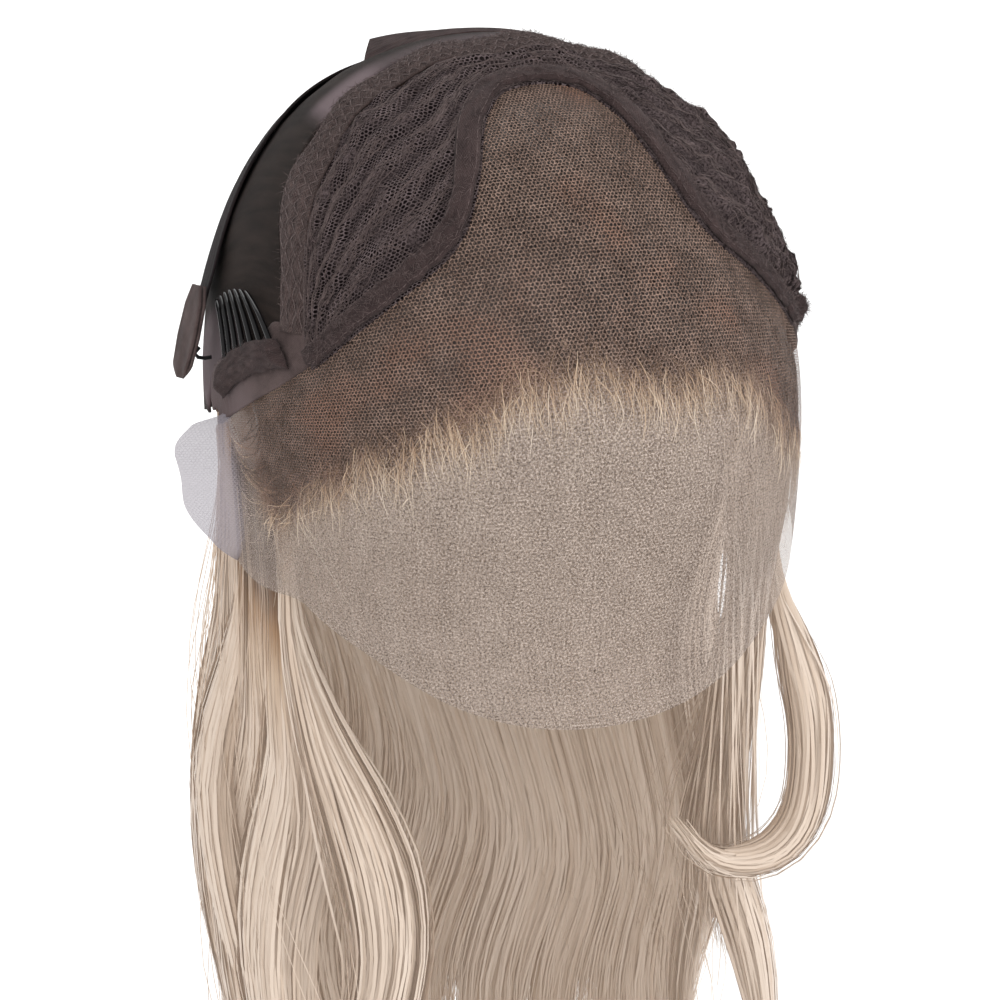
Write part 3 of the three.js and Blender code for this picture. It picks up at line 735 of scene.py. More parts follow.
BLOND_STOPS = (
    (0.0, srgb(62, 46, 37)),
    (0.12, srgb(96, 72, 54)),
    (0.3, srgb(150, 120, 92)),
    (0.55, srgb(182, 161, 140)),
    (1.0, srgb(193, 177, 162)),
)
ROOT_STOPS = (
    (0.0, srgb(36, 26, 21)),
    (0.34, srgb(52, 38, 30)),
    (0.48, srgb(114, 87, 68)),
    (0.6, srgb(180, 153, 126)),
    (0.8, srgb(210, 192, 171)),
    (1.0, srgb(216, 201, 184)),
)


Finish = Union[LaceFinish, WeftNetFinish, ClothFinish, HairFinish, GlossFinish]


def made(finish: Finish) -> Material:
    """Dataclass field that makes its own finish."""
    return field(default_factory=finish.make)


@dataclass(frozen=True)
class Finishes:
    """Every finish of the wig, each made once."""

    lace: Material = made(LaceFinish())
    weft_net: Material = made(WeftNetFinish())
    tape: Material = made(ClothFinish(
        "binding_tape", srgb(40, 31, 31), srgb(72, 59, 58), 0.6, (0.2, 0.4), 0.9, 0.18, 0.03))
    band: Material = made(ClothFinish(
        "seam_band", srgb(46, 36, 35), srgb(94, 79, 76), 0.9, (0.6, 0.5), 0.95, 0.4, 0.04))
    stretch: Material = made(ClothFinish(
        "stretch_cloth", srgb(17, 11, 9), srgb(44, 35, 31), 0.45, (0.22, 0.03), 0.85, 0.08, 0.01,
        thin=srgb(104, 91, 94)))
    tab: Material = made(ClothFinish(
        "ear_cloth", srgb(51, 41, 40), srgb(91, 77, 75), 0.5, (0.1, 0.1), 0.85, 0.08, 0.04,
        thin=srgb(98, 84, 84)))
    elastic: Material = made(ClothFinish(
        "woven_elastic", srgb(16, 12, 13), srgb(42, 34, 35), 0.8, (0.05, 0.8), 0.8, 0.25, 0.02))
    stitch: Material = made(ClothFinish(
        "sewing_thread", srgb(46, 37, 36), srgb(112, 97, 95), 0.3, (1.0, 1.0), 0.8, 0.05, 0.05))
    hair: Material = made(HairFinish("blond_hair", BLOND_STOPS))
    roots: Material = made(HairFinish("rooted_hair", ROOT_STOPS, reach=44.0, rough=0.5, deep=0.6))
    comb: Material = made(GlossFinish("comb_plastic", srgb(4, 4, 5), rough=0.06, gloss=0.28))
    hook: Material = made(GlossFinish("hook_wire", srgb(22, 22, 23), rough=0.3, metal=0.6))


def deselect() -> None:
    """Leaves object mode with nothing selected."""
    if bpy.context.object and bpy.context.object.mode != "OBJECT":
        bpy.ops.object.mode_set(mode="OBJECT")
    bpy.ops.object.select_all(action="DESELECT")


def pick(piece: Piece) -> None:
    """Makes one piece the only selected and active one.

    Args:
        piece: The piece.
    """
    deselect()
    piece.select_set(True)
    bpy.context.view_layer.objects.active = piece


def write(mesh: bpy.types.Mesh, name: str, values: Array) -> None:
    """Stores numbers or vectors on the points of a mesh.

    Args:
        mesh: Mesh that carries them.
        name: Attribute's name.
        values: One number or one row of three for each point.
    """
    kind, key = ("FLOAT_VECTOR", "vector") if values.ndim == 2 else ("FLOAT", "value")
    layer = mesh.attributes.new(name, kind, "POINT")
    layer.data.foreach_set(key, np.asarray(values, np.float32).ravel())


def points_of(mesh: bpy.types.Mesh) -> Array:
    """Reads the points of a mesh.

    Args:
        mesh: The mesh.

    Returns:
        One row for each point.
    """
    flat = np.empty(len(mesh.vertices) * 3)
    mesh.vertices.foreach_get("co", flat)
    return flat.reshape(-1, 3)


def move_points(mesh: bpy.types.Mesh, where: Array) -> None:
    """Puts the points of a mesh at places in millimetres."""
    mesh.vertices.foreach_set("co", (where * MM).ravel())
    mesh.update()


def shares(columns: int, rows: int) -> Pair:
    """Shares across and along a grid, for each of its points."""
    u = np.tile(np.linspace(0.0, 1.0, columns + 1), rows + 1)
    return u, np.repeat(np.linspace(0.0, 1.0, rows + 1), columns + 1)


def strip(u: Array, v: Array, length: float, width: float) -> Array:
    """Cloth coordinates along and across a strip."""
    return np.stack([u * length, v * width, 0.0 * u], -1)


def turn_outwards(piece: Piece) -> None:
    """Points all faces of a closed piece outwards.

    Args:
        piece: The piece, which is left selected.
    """
    pick(piece)
    bpy.ops.object.mode_set(mode="EDIT")
    bpy.ops.mesh.select_all(action="SELECT")
    bpy.ops.mesh.normals_make_consistent(inside=False)
    bpy.ops.object.mode_set(mode="OBJECT")


def coat(piece: Piece, material: Material) -> None:
    """Gives a piece one finish alone."""
    piece.data.materials.clear()
    piece.data.materials.append(material)


def lay_grid(name: str, columns: int, rows: int, place: Place) -> Piece:
    """Cloth laid out as a grid and drawn over the form.

    Args:
        name: Piece's name.
        columns: Squares across.
        rows: Squares along.
        place: Gives points and cloth coordinates for shares across and along.

    Returns:
        The piece, one layer thick.
    """
    deselect()
    bpy.ops.mesh.primitive_grid_add(x_subdivisions=columns, y_subdivisions=rows, size=2.0)
    piece = bpy.context.object
    piece.name = piece.data.name = name
    flat = points_of(piece.data)
    where, cloth = place((flat[:, 0] + 1.0) / 2.0, (flat[:, 1] + 1.0) / 2.0)
    move_points(piece.data, where)
    write(piece.data, "cloth", cloth)
    bpy.ops.object.shade_smooth()
    return piece


def thicken(piece: Piece, thick: float) -> None:
    """Gives a layer of cloth its thickness, inwards from the face that shows.

    Args:
        piece: The layer.
        thick: Its thickness.
    """
    pick(piece)
    wall = piece.modifiers.new("wall", "SOLIDIFY")
    wall.thickness = thick * MM
    wall.offset = -1.0
    bpy.ops.object.modifier_apply(modifier=wall.name)


def mesh_piece(name: str, points: Array, quads: Array) -> Piece:
    """Piece from rows of points and four-sided faces.

    Args:
        name: Piece's name.
        points: Places in millimetres.
        quads: Point numbers of each face.

    Returns:
        The piece, shaded smooth.
    """
    mesh = bpy.data.meshes.new(name)
    mesh.vertices.add(len(points))
    mesh.vertices.foreach_set("co", (points * MM).astype(np.float32).ravel())
    mesh.loops.add(quads.size)
    mesh.loops.foreach_set("vertex_index", quads.astype(np.int32).ravel())
    mesh.polygons.add(len(quads))
    mesh.polygons.foreach_set("loop_start", np.arange(0, quads.size, 4, dtype=np.int32))
    mesh.update(calc_edges=True)
    mesh.shade_smooth()
    piece = bpy.data.objects.new(name, mesh)
    bpy.context.scene.collection.objects.link(piece)
    return piece


@dataclass
class Strands:
    """Hair or thread as fine flat ribbons, gathered before they become one mesh."""

    paths: list[Array] = field(default_factory=list)
    widths: list[Array] = field(default_factory=list)
    facings: list[Array] = field(default_factory=list)
    tones: list[Array] = field(default_factory=list)
    growth: list[Array] = field(default_factory=list)

    def add(self, path: Array, width: Array, facing: Array, tone: Array,
            grown: Array) -> None:
        """Adds a group of ribbons with the same number of points.

        Args:
            path: Points, strands by steps by three.
            width: Width at each point.
            facing: Direction that each point's flat side looks in.
            tone: Tone of each strand, 0 dark to 1 light.
            grown: Distance from the root at each point.
        """
        shape = path.shape[:2]
        self.paths.append(path)
        self.widths.append(np.broadcast_to(width, shape))
        self.facings.append(np.broadcast_to(facing, path.shape))
        self.tones.append(np.broadcast_to(np.asarray(tone)[:, None], shape))
        self.growth.append(np.broadcast_to(grown, shape))

    def make(self, name: str) -> Piece:
        """Makes one mesh of all the ribbons.

        Args:
            name: Piece's name.

        Returns:
            The piece, with its fibre coordinates, tones and growth.
        """
        points, quads, fibre, tones, growth = [], [], [], [], []
        start = 0
        for n, path in enumerate(self.paths):
            count, steps = path.shape[:2]
            run = unit(np.gradient(path, axis=1))
            across = unit(np.cross(run, self.facings[n]))
            half = self.widths[n][..., None] / 2.0
            both = np.stack([path - across * half, path + across * half], 2)
            points.append(both.reshape(-1, 3))
            ids = start + np.arange(count * steps * 2).reshape(count, steps, 2)
            corners = [ids[:, :-1, 0], ids[:, :-1, 1], ids[:, 1:, 1], ids[:, 1:, 0]]
            quads.append(np.stack(corners, -1).reshape(-1, 4))
            start += count * steps * 2
            length = np.repeat(run_length(path)[..., None], 2, -1)
            own = np.arange(count)[:, None] * 7.31 + n * 3.7
            edge = np.stack([own - half[..., 0], own + half[..., 0]], -1)
            fibre.append(np.stack([edge, length, edge * 0 + n], -1).reshape(-1, 3))
            tones.append(np.repeat(self.tones[n].ravel(), 2))
            growth.append(np.repeat(self.growth[n].ravel(), 2))
        piece = mesh_piece(name, np.concatenate(points), np.concatenate(quads))
        write(piece.data, "fibre", np.concatenate(fibre))
        write(piece.data, "cloth", np.concatenate(fibre))
        write(piece.data, "tone", np.concatenate(tones))
        write(piece.data, "grown", np.concatenate(growth))
        return piece


def settle(piece: Piece, material: Material, slot: str, *nodes: str) -> Piece:
    """Gives a piece its finish and its place in the frame.

    Args:
        piece: Finished piece.
        material: Its finish.
        slot: Material slot of the record; not used.
        nodes: Solids that it stands for.

    Returns:
        The same piece.
    """
    coat(piece, material)
    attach(piece, BODY)
    if nodes:
        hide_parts(*nodes)
    piece.data.calc_loop_triangles()
    LOG.info("%s: %d triangles", piece.name, len(piece.data.loop_triangles))
    return piece


def declare(piece: Piece, columns: int, rows: int, hold: Hold, rests_on: Sequence[str]) -> None:
    """Logs the size that a layer of cloth was cut to, before it gets its thickness.

    Args:
        piece: Grid of cloth.
        columns: Squares across.
        rows: Squares along; not used.
        hold: How it is held; not used.
        rests_on: What it lies on.
    """
    rank = points_of(piece.data).reshape(-1, columns + 1, 3)
    across = np.linalg.norm(np.diff(rank, axis=1), axis=-1).sum(1).max()
    along = np.linalg.norm(np.diff(rank, axis=0), axis=-1).sum(0).max()
    area = sum(face.area for face in piece.data.polygons)
    LOG.info("%s is cut from %.0f x %.0f mm, %.4f m2", piece.name, across / MM, along / MM, area)
    list(rests_on)


@dataclass(frozen=True)
class Fuzz:
    """Short fibres that stand off a cloth."""

    count: int
    length: float
    width: float
    seed: int


def sew(strands: Strands, at: Spot, start: Array, end: Array, rise: float, width: float) -> None:
    """Adds stitches that dip into the cloth at both ends.

    Args:
        strands: Where they are gathered.
        at: Gives points and normals of the cloth.
        start: Shares across and along where each stitch starts.
        end: The same where it ends.
        rise: Height of its middle over the cloth.
        width: Thickness of the thread.
    """
    t = np.linspace(0.0, 1.0, 5)[None, :]
    u = mix(start[:, :1], end[:, :1], t)
    v = mix(start[:, 1:], end[:, 1:], t)
    path, normal = at(u, v, rise * np.sin(np.pi * t) + 0.0 * u)
    tone = np.random.default_rng(len(start)).random(len(start))
    strands.add(path, width * (0.6 + 0.4 * np.sin(np.pi * t)), normal, tone, 0.0)


def fluff(strands: Strands, at: Spot, fuzz: Fuzz) -> None:
    """Adds short bent fibres that stand off the cloth.

    Args:
        strands: Where they are gathered.
        at: Gives points and normals of the cloth.
        fuzz: Their number and sizes.
    """
    rng = np.random.default_rng(fuzz.seed)
    count = fuzz.count
    u = rng.uniform(0.01, 0.99, (count, 1))
    v = rng.uniform(0.02, 0.98, (count, 1))
    base, normal = at(u, v, np.zeros((count, 1)))
    way = unit(rng.normal(size=(count, 1, 3)) + 0.5 * normal)
    lie = unit(way - 0.6 * np.sum(way * normal, -1, keepdims=True) * normal)
    t = np.linspace(0.0, 1.0, 4)[None, :, None]
    reach = fuzz.length * rng.uniform(0.4, 1.3, (count, 1, 1))
    path = base + reach * (lie * t + 0.35 * normal * t * (1.2 - t)) + 0.05 * normal
    facing = rng.normal(size=(count, 1, 3))
    strands.add(path, fuzz.width * (1.0 - 0.6 * t[..., 0]), facing, rng.random(count), 0.0)


@dataclass
class FrontLace:
    """Sheer lace over the forehead, with the loose margin that stands off by one ear."""

    form: HeadForm
    finishes: Finishes
    roots: "RootHair"
    columns: int = 190
    rows: int = 110
    seam_side: float = 80.0
    edge_side: float = 64.0
    corner_from: float = 50.0
    corner_left: float = 42.0
    corner_right: float = 10.0
    margin: float = 0.07
    sink: float = -0.5
    tuck: float = 1.8

    def edge(self, side: Array) -> Array:
        """Sweep of the lace's free edge.

        Args:
            side: Angle from the centre plane.

        Returns:
            The sweep at each.
        """
        corner = np.clip((np.abs(side) - self.corner_from) / (self.edge_side - self.corner_from), 0.0, 1.0)
        drop = np.where(side < 0, self.corner_left, self.corner_right)
        return Cut.LACE_EDGE.across(side) - drop * corner**2

    def spot(self, u: Array, v: Array) -> tuple[Array, Array, Array]:
        """Where a place of the lace lies on the cap.

        Args:
            u: Shares across, the first of them in the loose margin.
            v: Shares along.

        Returns:
            Side, sweep and share of the margin that is passed.
        """
        outside = np.clip((self.margin - u) / self.margin, 0.0, 1.0)
        across = np.clip((u - self.margin) / (1.0 - self.margin), 0.0, 1.0) * 2.0 - 1.0
        side = across * mix(self.edge_side, self.seam_side, v)
        return side, mix(self.edge(side), Cut.LACE_SEAM.across(side) + self.tuck, v), outside

    def place(self, u: Array, v: Array) -> Pair:
        """Lays the lace over the forehead.

        Args:
            u: Shares across.
            v: Shares along.

        Returns:
            Points and cloth coordinates.
        """
        side, sweep, outside = self.spot(u, v)
        where, _ = self.form.spot(side, sweep, self.sink)
        reach = Cut.LACE_MARGIN.at(v) * outside
        wave = outside * (1.3 * np.sin(11.0 * v + 0.6) + 0.7 * np.sin(23.0 * v))
        where = where + reach[:, None] * np.array([-0.95, 0.31, 0.0])
        where = where + wave[:, None] * np.array([0.1, -0.95, 0.0])
        cloth = self.form.flat(side, sweep, LACE_MIDDLE)
        cloth[:, 0] -= reach
        return where, cloth

    def build(self) -> None:
        """Makes the lace."""
        piece = lay_grid("lace_front", self.columns, self.rows, self.place)
        side, sweep, outside = self.spot(*shares(self.columns, self.rows))
        write(piece.data, "bare", smooth(self.roots.past(side, sweep), 14.0, 34.0))
        write(piece.data, "veil", smooth(outside, 0.0, 0.3))
        declare(piece, self.columns, self.rows, Hold.STRETCHED, ["lace_hair"])
        settle(piece, self.finishes.lace, "lace", "front_lace")


@dataclass
class RootHair:
    """Hair tied into the lace: dark behind the hairline, with pale wisps that fall past it."""

    form: HeadForm
    finishes: Finishes
    side_most: float = 73.0
    bed_strands: int = 3400
    wisps: int = 4300
    caught: int = 900
    steps: int = 7
    columns: int = 90
    rows: int = 30
    wall: float = 0.8

    def hairline(self, side: Array) -> Array:
        """Sweep of the uneven hairline."""
        return Cut.HAIRLINE.across(side) + 2.4 * ripple(side / 11.0, 0.0 * side, 5)

    def past(self, side: Array, sweep: Array) -> Array:
        """Distance past the hairline towards the face, with a given start on the hairline itself."""
        reach = np.radians(self.hairline(side) - sweep) * self.form.radius
        return GROWN_AT_HAIRLINE + reach * np.cos(np.radians(side))

    def bed_spot(self, u: Array, v: Array) -> Pair:
        """Where a place of the layer under the strands lies on the cap.

        Args:
            u: Shares across.
            v: Shares along.

        Returns:
            Side and sweep.
        """
        side = (2.0 * u - 1.0) * self.side_most
        start = self.hairline(side) + 4.5 + 2.0 * ripple(side / 2.0, 0.0 * side, 9)
        return side, mix(start, Cut.LACE_SEAM.across(side) + 5.0, v)

    def place(self, u: Array, v: Array) -> Pair:
        """Lays the layer under the strands.

        Args:
            u: Shares across.
            v: Shares along.

        Returns:
            Points and fibre coordinates.
        """
        side, sweep = self.bed_spot(u, v)
        where, _ = self.form.spot(side, sweep, -3.0 - 0.5 * ripple(side / 3.0, sweep / 14.0, 3))
        return where, self.form.flat(side, sweep, LACE_MIDDLE)

    def degree(self, side: Array) -> Array:
        """Degrees of sweep in a millimetre, at each side angle."""
        return np.degrees(1.0 / (self.form.radius * np.cos(np.radians(side))))

    def strand(self, strands: Strands, side: Array, start: Array, end: Array, lift: Array,
               width: float, rng: Rng, older: float = 0.0, sway: float = 1.0) -> None:
        """Adds strands that run from one sweep to another.

        Args:
            strands: Where they are gathered.
            side: Side angle of each root.
            start: Sweep of each root.
            end: Sweep of each tip.
            lift: Depth of each strand.
            width: Usual width.
            rng: Source of their variety.
            older: Length added to what has grown, which makes them paler.
            sway: How far they lean and bend.
        """
        count = len(side)
        t = np.linspace(0.0, 1.0, self.steps)[None, :]
        lean = sway * (3.4 * ripple(side / 6.0, 0.0 * side, 33)[:, None] + rng.normal(0.0, 3.0, (count, 1)))
        drift = lean / np.maximum(np.cos(np.radians(side))[:, None], 0.4)
        bend = sway * rng.normal(0.0, 1.7, (count, 1))
        sides = side[:, None] + drift * t + bend * np.sin(np.pi * t)
        sweeps = mix(start[:, None], end[:, None], t)
        path, normal = self.form.spot(sides, sweeps, lift[:, None] + 0.6 * np.sin(np.pi * t))
        facing = normal + rng.normal(0.0, 0.35, (count, 1, 3))
        grown = self.past(sides, sweeps) + older + rng.normal(0.0, 3.5, (count, 1))
        widths = width * rng.uniform(0.7, 1.3, (count, 1)) * (1.0 - 0.75 * t**2)
        strands.add(path, widths, facing, rng.random(count), np.clip(grown, 0.0, OLDEST_ROOT))

    def rooted(self, strands: Strands, rng: Rng) -> None:
        """Adds the dark strands behind the hairline.

        Args:
            strands: Where they are gathered.
            rng: Source of their variety.
        """
        count = self.bed_strands
        side = np.degrees(np.arcsin(rng.uniform(-0.95, 0.95, count)))
        line, top, degree = self.hairline(side), Cut.LACE_SEAM.across(side), self.degree(side)
        start = mix(line + 3.0, top - 1.5, rng.random(count))
        tip = start - rng.uniform(9.0, 22.0, count) * degree
        end = np.maximum(tip, line - rng.exponential(3.0, count) * degree)
        self.strand(strands, side, start, end, -1.9 - 0.9 * rng.random(count), 0.5, rng)

    def wispy(self, strands: Strands, rng: Rng) -> None:
        """Adds the pale wisps that fall past the hairline.

        Args:
            strands: Where they are gathered.
            rng: Source of their variety.
        """
        count = self.wisps
        side = np.degrees(np.arcsin(rng.uniform(-0.93, 0.93, count)))
        line, degree = self.hairline(side), self.degree(side)
        tuft = 1.0 + 0.55 * ripple(side / 5.0, 0.0 * side, 31)
        over = np.clip(rng.exponential(9.0, count) * tuft**1.5, 0.5, 30.0)
        start = line + rng.uniform(0.0, 9.0, count) * degree
        lift = -1.3 - 1.5 * rng.random(count)
        self.strand(strands, side, start, line - over * degree, lift, 0.24, rng)

    def drawn_through(self, strands: Strands, rng: Rng) -> None:
        """Adds the short hairs that are caught through the lace.

        Args:
            strands: Where they are gathered.
            rng: Source of their variety.
        """
        count = self.caught
        side = np.degrees(np.arcsin(rng.uniform(-0.9, 0.76, count)))
        line, degree = self.hairline(side), self.degree(side)
        start = line + rng.normal(1.0, 3.5, count) * degree
        reach = rng.uniform(4.0, 14.0, count) * degree
        lift = 0.3 + 0.2 * rng.random(count)
        self.strand(strands, side, start, start - reach, lift, 0.115, rng, 4.0, 0.4)

    def build(self) -> None:
        """Makes the layer and its strands."""
        bed = lay_grid("root_bed", self.columns, self.rows, self.place)
        side, sweep = self.bed_spot(*shares(self.columns, self.rows))
        write(bed.data, "fibre", self.form.flat(side, sweep, LACE_MIDDLE))
        write(bed.data, "tone", 0.35 + 0.25 * ripple(side / 6.0, sweep / 9.0, 21))
        write(bed.data, "grown", np.clip(self.past(side, sweep), 0.0, 20.0))
        thicken(bed, self.wall)
        settle(bed, self.finishes.roots, "root_hair", "lace_hair")
        rng = np.random.default_rng(11)
        strands = Strands()
        self.rooted(strands, rng)
        self.wispy(strands, rng)
        self.drawn_through(strands, rng)
        settle(strands.make("hairline_strands"), self.finishes.roots, "root_hair")


@dataclass
class CrownPanel:
    """Panel behind the lace seam, with wefts sewn under its net in ridges."""

    form: HeadForm
    finishes: Finishes
    columns: int = 170
    rows: int = 84
    side_most: float = 49.25
    wefts: int = 6
    ridge: float = 1.05
    lump: float = 1.4
    lump_pitch: float = 15.0
    proud: float = 2.2
    bound: float = 6.4
    middle: float = 75.0
    wall: float = 0.9
    caught: int = 3400
    fuzz: Fuzz = Fuzz(2600, 2.6, 0.14, 45)

    def past_seam(self, side: Array, sweep: Array) -> Array:
        """Distance from the lace seam, square to its run.

        Args:
            side: Angle from the centre plane.
            sweep: Angle from the forehead over the crown.

        Returns:
            The distance at each place.
        """
        near = np.abs(side)
        slope = Cut.LACE_SEAM.at(near + 0.5) - Cut.LACE_SEAM.at(np.maximum(near - 0.5, 0.0))
        flat = np.cos(np.radians(side))
        rise = np.radians(sweep - Cut.LACE_SEAM.across(side)) * self.form.radius
        return rise * flat / np.hypot(1.0, slope * flat)

    def lumps(self, side: Array) -> Array:
        """Soft swellings of the cap over the hair behind it."""
        return self.lump * 0.5 * (1.0 + np.sin(2.0 * np.pi * side / self.lump_pitch))

    def spot(self, u: Array, v: Array) -> Pair:
        """Side and sweep of a place on the panel."""
        side = (2.0 * u - 1.0) * self.side_most
        return side, mix(Cut.LACE_SEAM.across(side) + 0.25, Cut.BAND_FRONT.across(side) - 0.5, v)

    def weft(self, side: Array, sweep: Array, v: Array) -> Array:
        """Height of the wefts' wavering rows, from 0 between two to 1 on each."""
        waver = 0.06 * ripple(side / 7.0, sweep / 20.0, 41)
        return np.sin(np.pi * self.wefts * (v + waver)) ** 2

    def relief(self, side: Array, sweep: Array, v: Array) -> Array:
        """Height of ridges, swellings and small lumps.

        Args:
            side: Angle from the centre plane.
            sweep: Angle from the forehead over the crown.
            v: Share of the way from the lace seam to the band.

        Returns:
            The height at each place.
        """
        clear = smooth(self.past_seam(side, sweep), self.bound + 1.5, self.bound + 4.5)
        ridges = self.ridge * self.weft(side, sweep, v)
        small = (0.55 + 0.4 * smooth(side, 10.0, 24.0)) * ripple(side / 2.4, sweep / 2.6, 42)
        small = small + self.proud * smooth(side, 16.0, 30.0)
        return clear * (ridges + self.lumps(side) * v + small)

    def at(self, u: Array, v: Array, lift: Array) -> Pair:
        """Points and normals over the panel's relief."""
        side, sweep = self.spot(u, v)
        return self.form.spot(side, sweep, self.relief(side, sweep, v) + lift)

    def place(self, u: Array, v: Array) -> Pair:
        """Points and cloth coordinates of the panel."""
        return self.at(u, v, 0.0 * u)[0], self.form.flat(*self.spot(u, v), self.middle)

    def fibres(self) -> Strands:
        """Fibres of the wefts that are caught on the net, and its fuzz."""
        rng = np.random.default_rng(44)
        strands = Strands()
        count = self.caught
        u = rng.uniform(0.02, 0.98, (count, 1))
        row = rng.integers(0, self.wefts, (count, 1)) + 0.5 + rng.normal(0.0, 0.13, (count, 1))
        t = np.linspace(0.0, 1.0, 5)[None, :]
        run = rng.uniform(0.012, 0.04, (count, 1)) * rng.choice([-1.0, 1.0], (count, 1))
        along = np.clip(u + run * t, 0.0, 1.0)
        slip = np.clip(row / self.wefts + rng.normal(0.0, 0.03, (count, 1)) * t, 0.02, 0.98)
        path, normal = self.at(along, slip, 0.1 + 0.35 * np.sin(np.pi * t) * rng.random((count, 1)))
        facing = normal + rng.normal(0.0, 0.4, (count, 1, 3))
        strands.add(path, 0.26 * (1.0 - 0.5 * t), facing, rng.random(count), 0.0)
        fluff(strands, self.at, self.fuzz)
        return strands

    def build(self) -> None:
        """Makes the panel and the fibres caught on it."""
        piece = lay_grid("crown_net", self.columns, self.rows, self.place)
        u, v = shares(self.columns, self.rows)
        side, sweep = self.spot(u, v)
        # mask of the painted shade in the grooves between the weft rows
        write(piece.data, "painted_groove_shade", 1.0 - self.weft(side, sweep, v))
        write(piece.data, "netted", 1.0 - 0.8 * smooth(side, 6.0, 18.0))
        declare(piece, self.columns, self.rows, Hold.STRETCHED, ["hair"])
        thicken(piece, self.wall)
        settle(piece, self.finishes.weft_net, "weft_net", "crown_panel")
        settle(self.fibres().make("weft_fibres"), self.finishes.stitch, "weft_net")


@dataclass
class LaceBinding:
    """Tape bound over the cap's side of the lace seam, sewn down along both edges."""

    form: HeadForm
    finishes: Finishes
    columns: int = 300
    rows: int = 14
    side_most: float = 49.0
    width: float = 6.4
    length: float = 250.0
    over: float = 0.8
    crown: float = 0.95
    wall: float = 0.75
    stitches: int = 104
    stitch: float = 0.0072
    fuzz: Fuzz = Fuzz(2600, 2.2, 0.12, 52)

    def line(self, u: Array) -> Pair:
        """Side and sweep of the tape's lower edge."""
        side = (2.0 * u - 1.0) * self.side_most
        return side, Cut.LACE_SEAM.across(side) + 0.75

    def at(self, u: Array, v: Array, lift: Array) -> Pair:
        """Upper face of the tape, square to the run of the seam.

        Args:
            u: Shares along.
            v: Shares across.
            lift: Height over the face.

        Returns:
            Points and normals.
        """
        side, sweep = self.line(u)
        before, after = self.line(u - 0.004), self.line(u + 0.004)
        flat = np.cos(np.radians(side))
        run_side, run_sweep = after[0] - before[0], (after[1] - before[1]) * flat
        length = np.hypot(run_side, run_sweep)
        frayed = (v - 0.5) * 1.1 * ripple(u * 46.0, 0.0 * u + 3.0, 53)
        uneven = frayed + 0.35 * ripple(u * 21.0, 0.0 * u + 8.0, 54)
        width = np.degrees((self.width * v + uneven) / self.form.radius)
        side_at = side - run_sweep / length * width
        sweep_at = sweep + run_side / length * width / flat
        wrinkle = 0.3 * ripple(u * 52.0 + 2.2 * v, v * 1.8, 51) * np.sin(np.pi * v) ** 0.7
        hug = 0.25 + 0.75 * smooth(np.sin(np.pi * v), 0.0, 0.45)
        rise = (self.over + self.crown * (1.0 + 0.35 * np.sin(np.pi * v))) * hug + wrinkle
        return self.form.spot(side_at, sweep_at, rise + lift)

    def place(self, u: Array, v: Array) -> Pair:
        """Points and cloth coordinates, along and across the tape."""
        return self.at(u, v, 0.0 * u)[0], strip(u, v, self.length, self.width)

    def build(self) -> None:
        """Makes the tape and its stitches."""
        piece = lay_grid("lace_tape", self.columns, self.rows, self.place)
        thicken(piece, self.wall)
        settle(piece, self.finishes.tape, "tape", "lace_binding")
        strands = Strands()
        start = np.linspace(0.004, 0.988, self.stitches)
        for v in (0.12, 0.88):
            begin = np.stack([start, np.full(start.shape, v)], -1)
            sew(strands, self.at, begin, begin + np.array([self.stitch, 0.0]), 0.08, 0.22)
        fluff(strands, self.at, self.fuzz)
        settle(strands.make("tape_stitches"), self.finishes.stitch, "tape")


@dataclass
class CrownSeam:
    """Fuzzy stitched band over the crown from temple to temple."""

    form: HeadForm
    finishes: Finishes
    panel: CrownPanel
    columns: int = 260
    rows: int = 26
    front_side: float = 49.4
    rear_side: float = 54.0
    length: float = 215.0
    width: float = 13.0
    rise: float = 1.1
    wall: float = 0.9
    knots: int = 116
    zigzags: tuple[tuple[float, float], ...] = ((0.06, 0.2), (0.28, 0.44), (0.54, 0.7), (0.8, 0.94))
    fuzz: Fuzz = Fuzz(4200, 2.2, 0.13, 62)

    def at(self, u: Array, v: Array, lift: Array) -> Pair:
        """Face of the band, puckered by its stitches.

        Args:
            u: Shares along.
            v: Shares across.
            lift: Height over the face.

        Returns:
            Points and normals.
        """
        across = 2.0 * u - 1.0
        front, rear = across * self.front_side, across * self.rear_side
        side = mix(front, rear, v)
        sweep = mix(Cut.BAND_FRONT.across(front) + 0.25, Cut.BAND_REAR.across(rear) - 0.25, v)
        pucker = 0.3 * ripple(u * 70.0, v * 5.0, 61) - 0.35 * np.sin(4.0 * np.pi * v) ** 2
        height = self.rise * np.sin(np.pi * v) + self.panel.lumps(side) + pucker * np.sin(np.pi * v) ** 0.5
        return self.form.spot(side, sweep, height + lift)

    def place(self, u: Array, v: Array) -> Pair:
        """Points and cloth coordinates, along and across the band."""
        return self.at(u, np.clip(v, 0.0, 1.0), 0.0 * u)[0], strip(u, v, self.length, self.width)

    def build(self) -> None:
        """Makes the band, its zigzag stitches and its fuzz."""
        piece = lay_grid("seam_band", self.columns, self.rows, self.place)
        declare(piece, self.columns, self.rows, Hold.STRETCHED, ["hair"])
        thicken(piece, self.wall)
        settle(piece, self.finishes.band, "seam", "crown_seam")
        strands = Strands()
        knots = np.linspace(0.006, 0.994, self.knots)
        for row, (low, high) in enumerate(self.zigzags):
            height = np.where((np.arange(len(knots)) + row) % 2, high, low)
            points = np.stack([knots, height], -1)
            sew(strands, self.at, points[:-1], points[1:], 0.4, 0.42)
        fluff(strands, self.at, self.fuzz)
        settle(strands.make("band_stitches"), self.finishes.stitch, "seam")


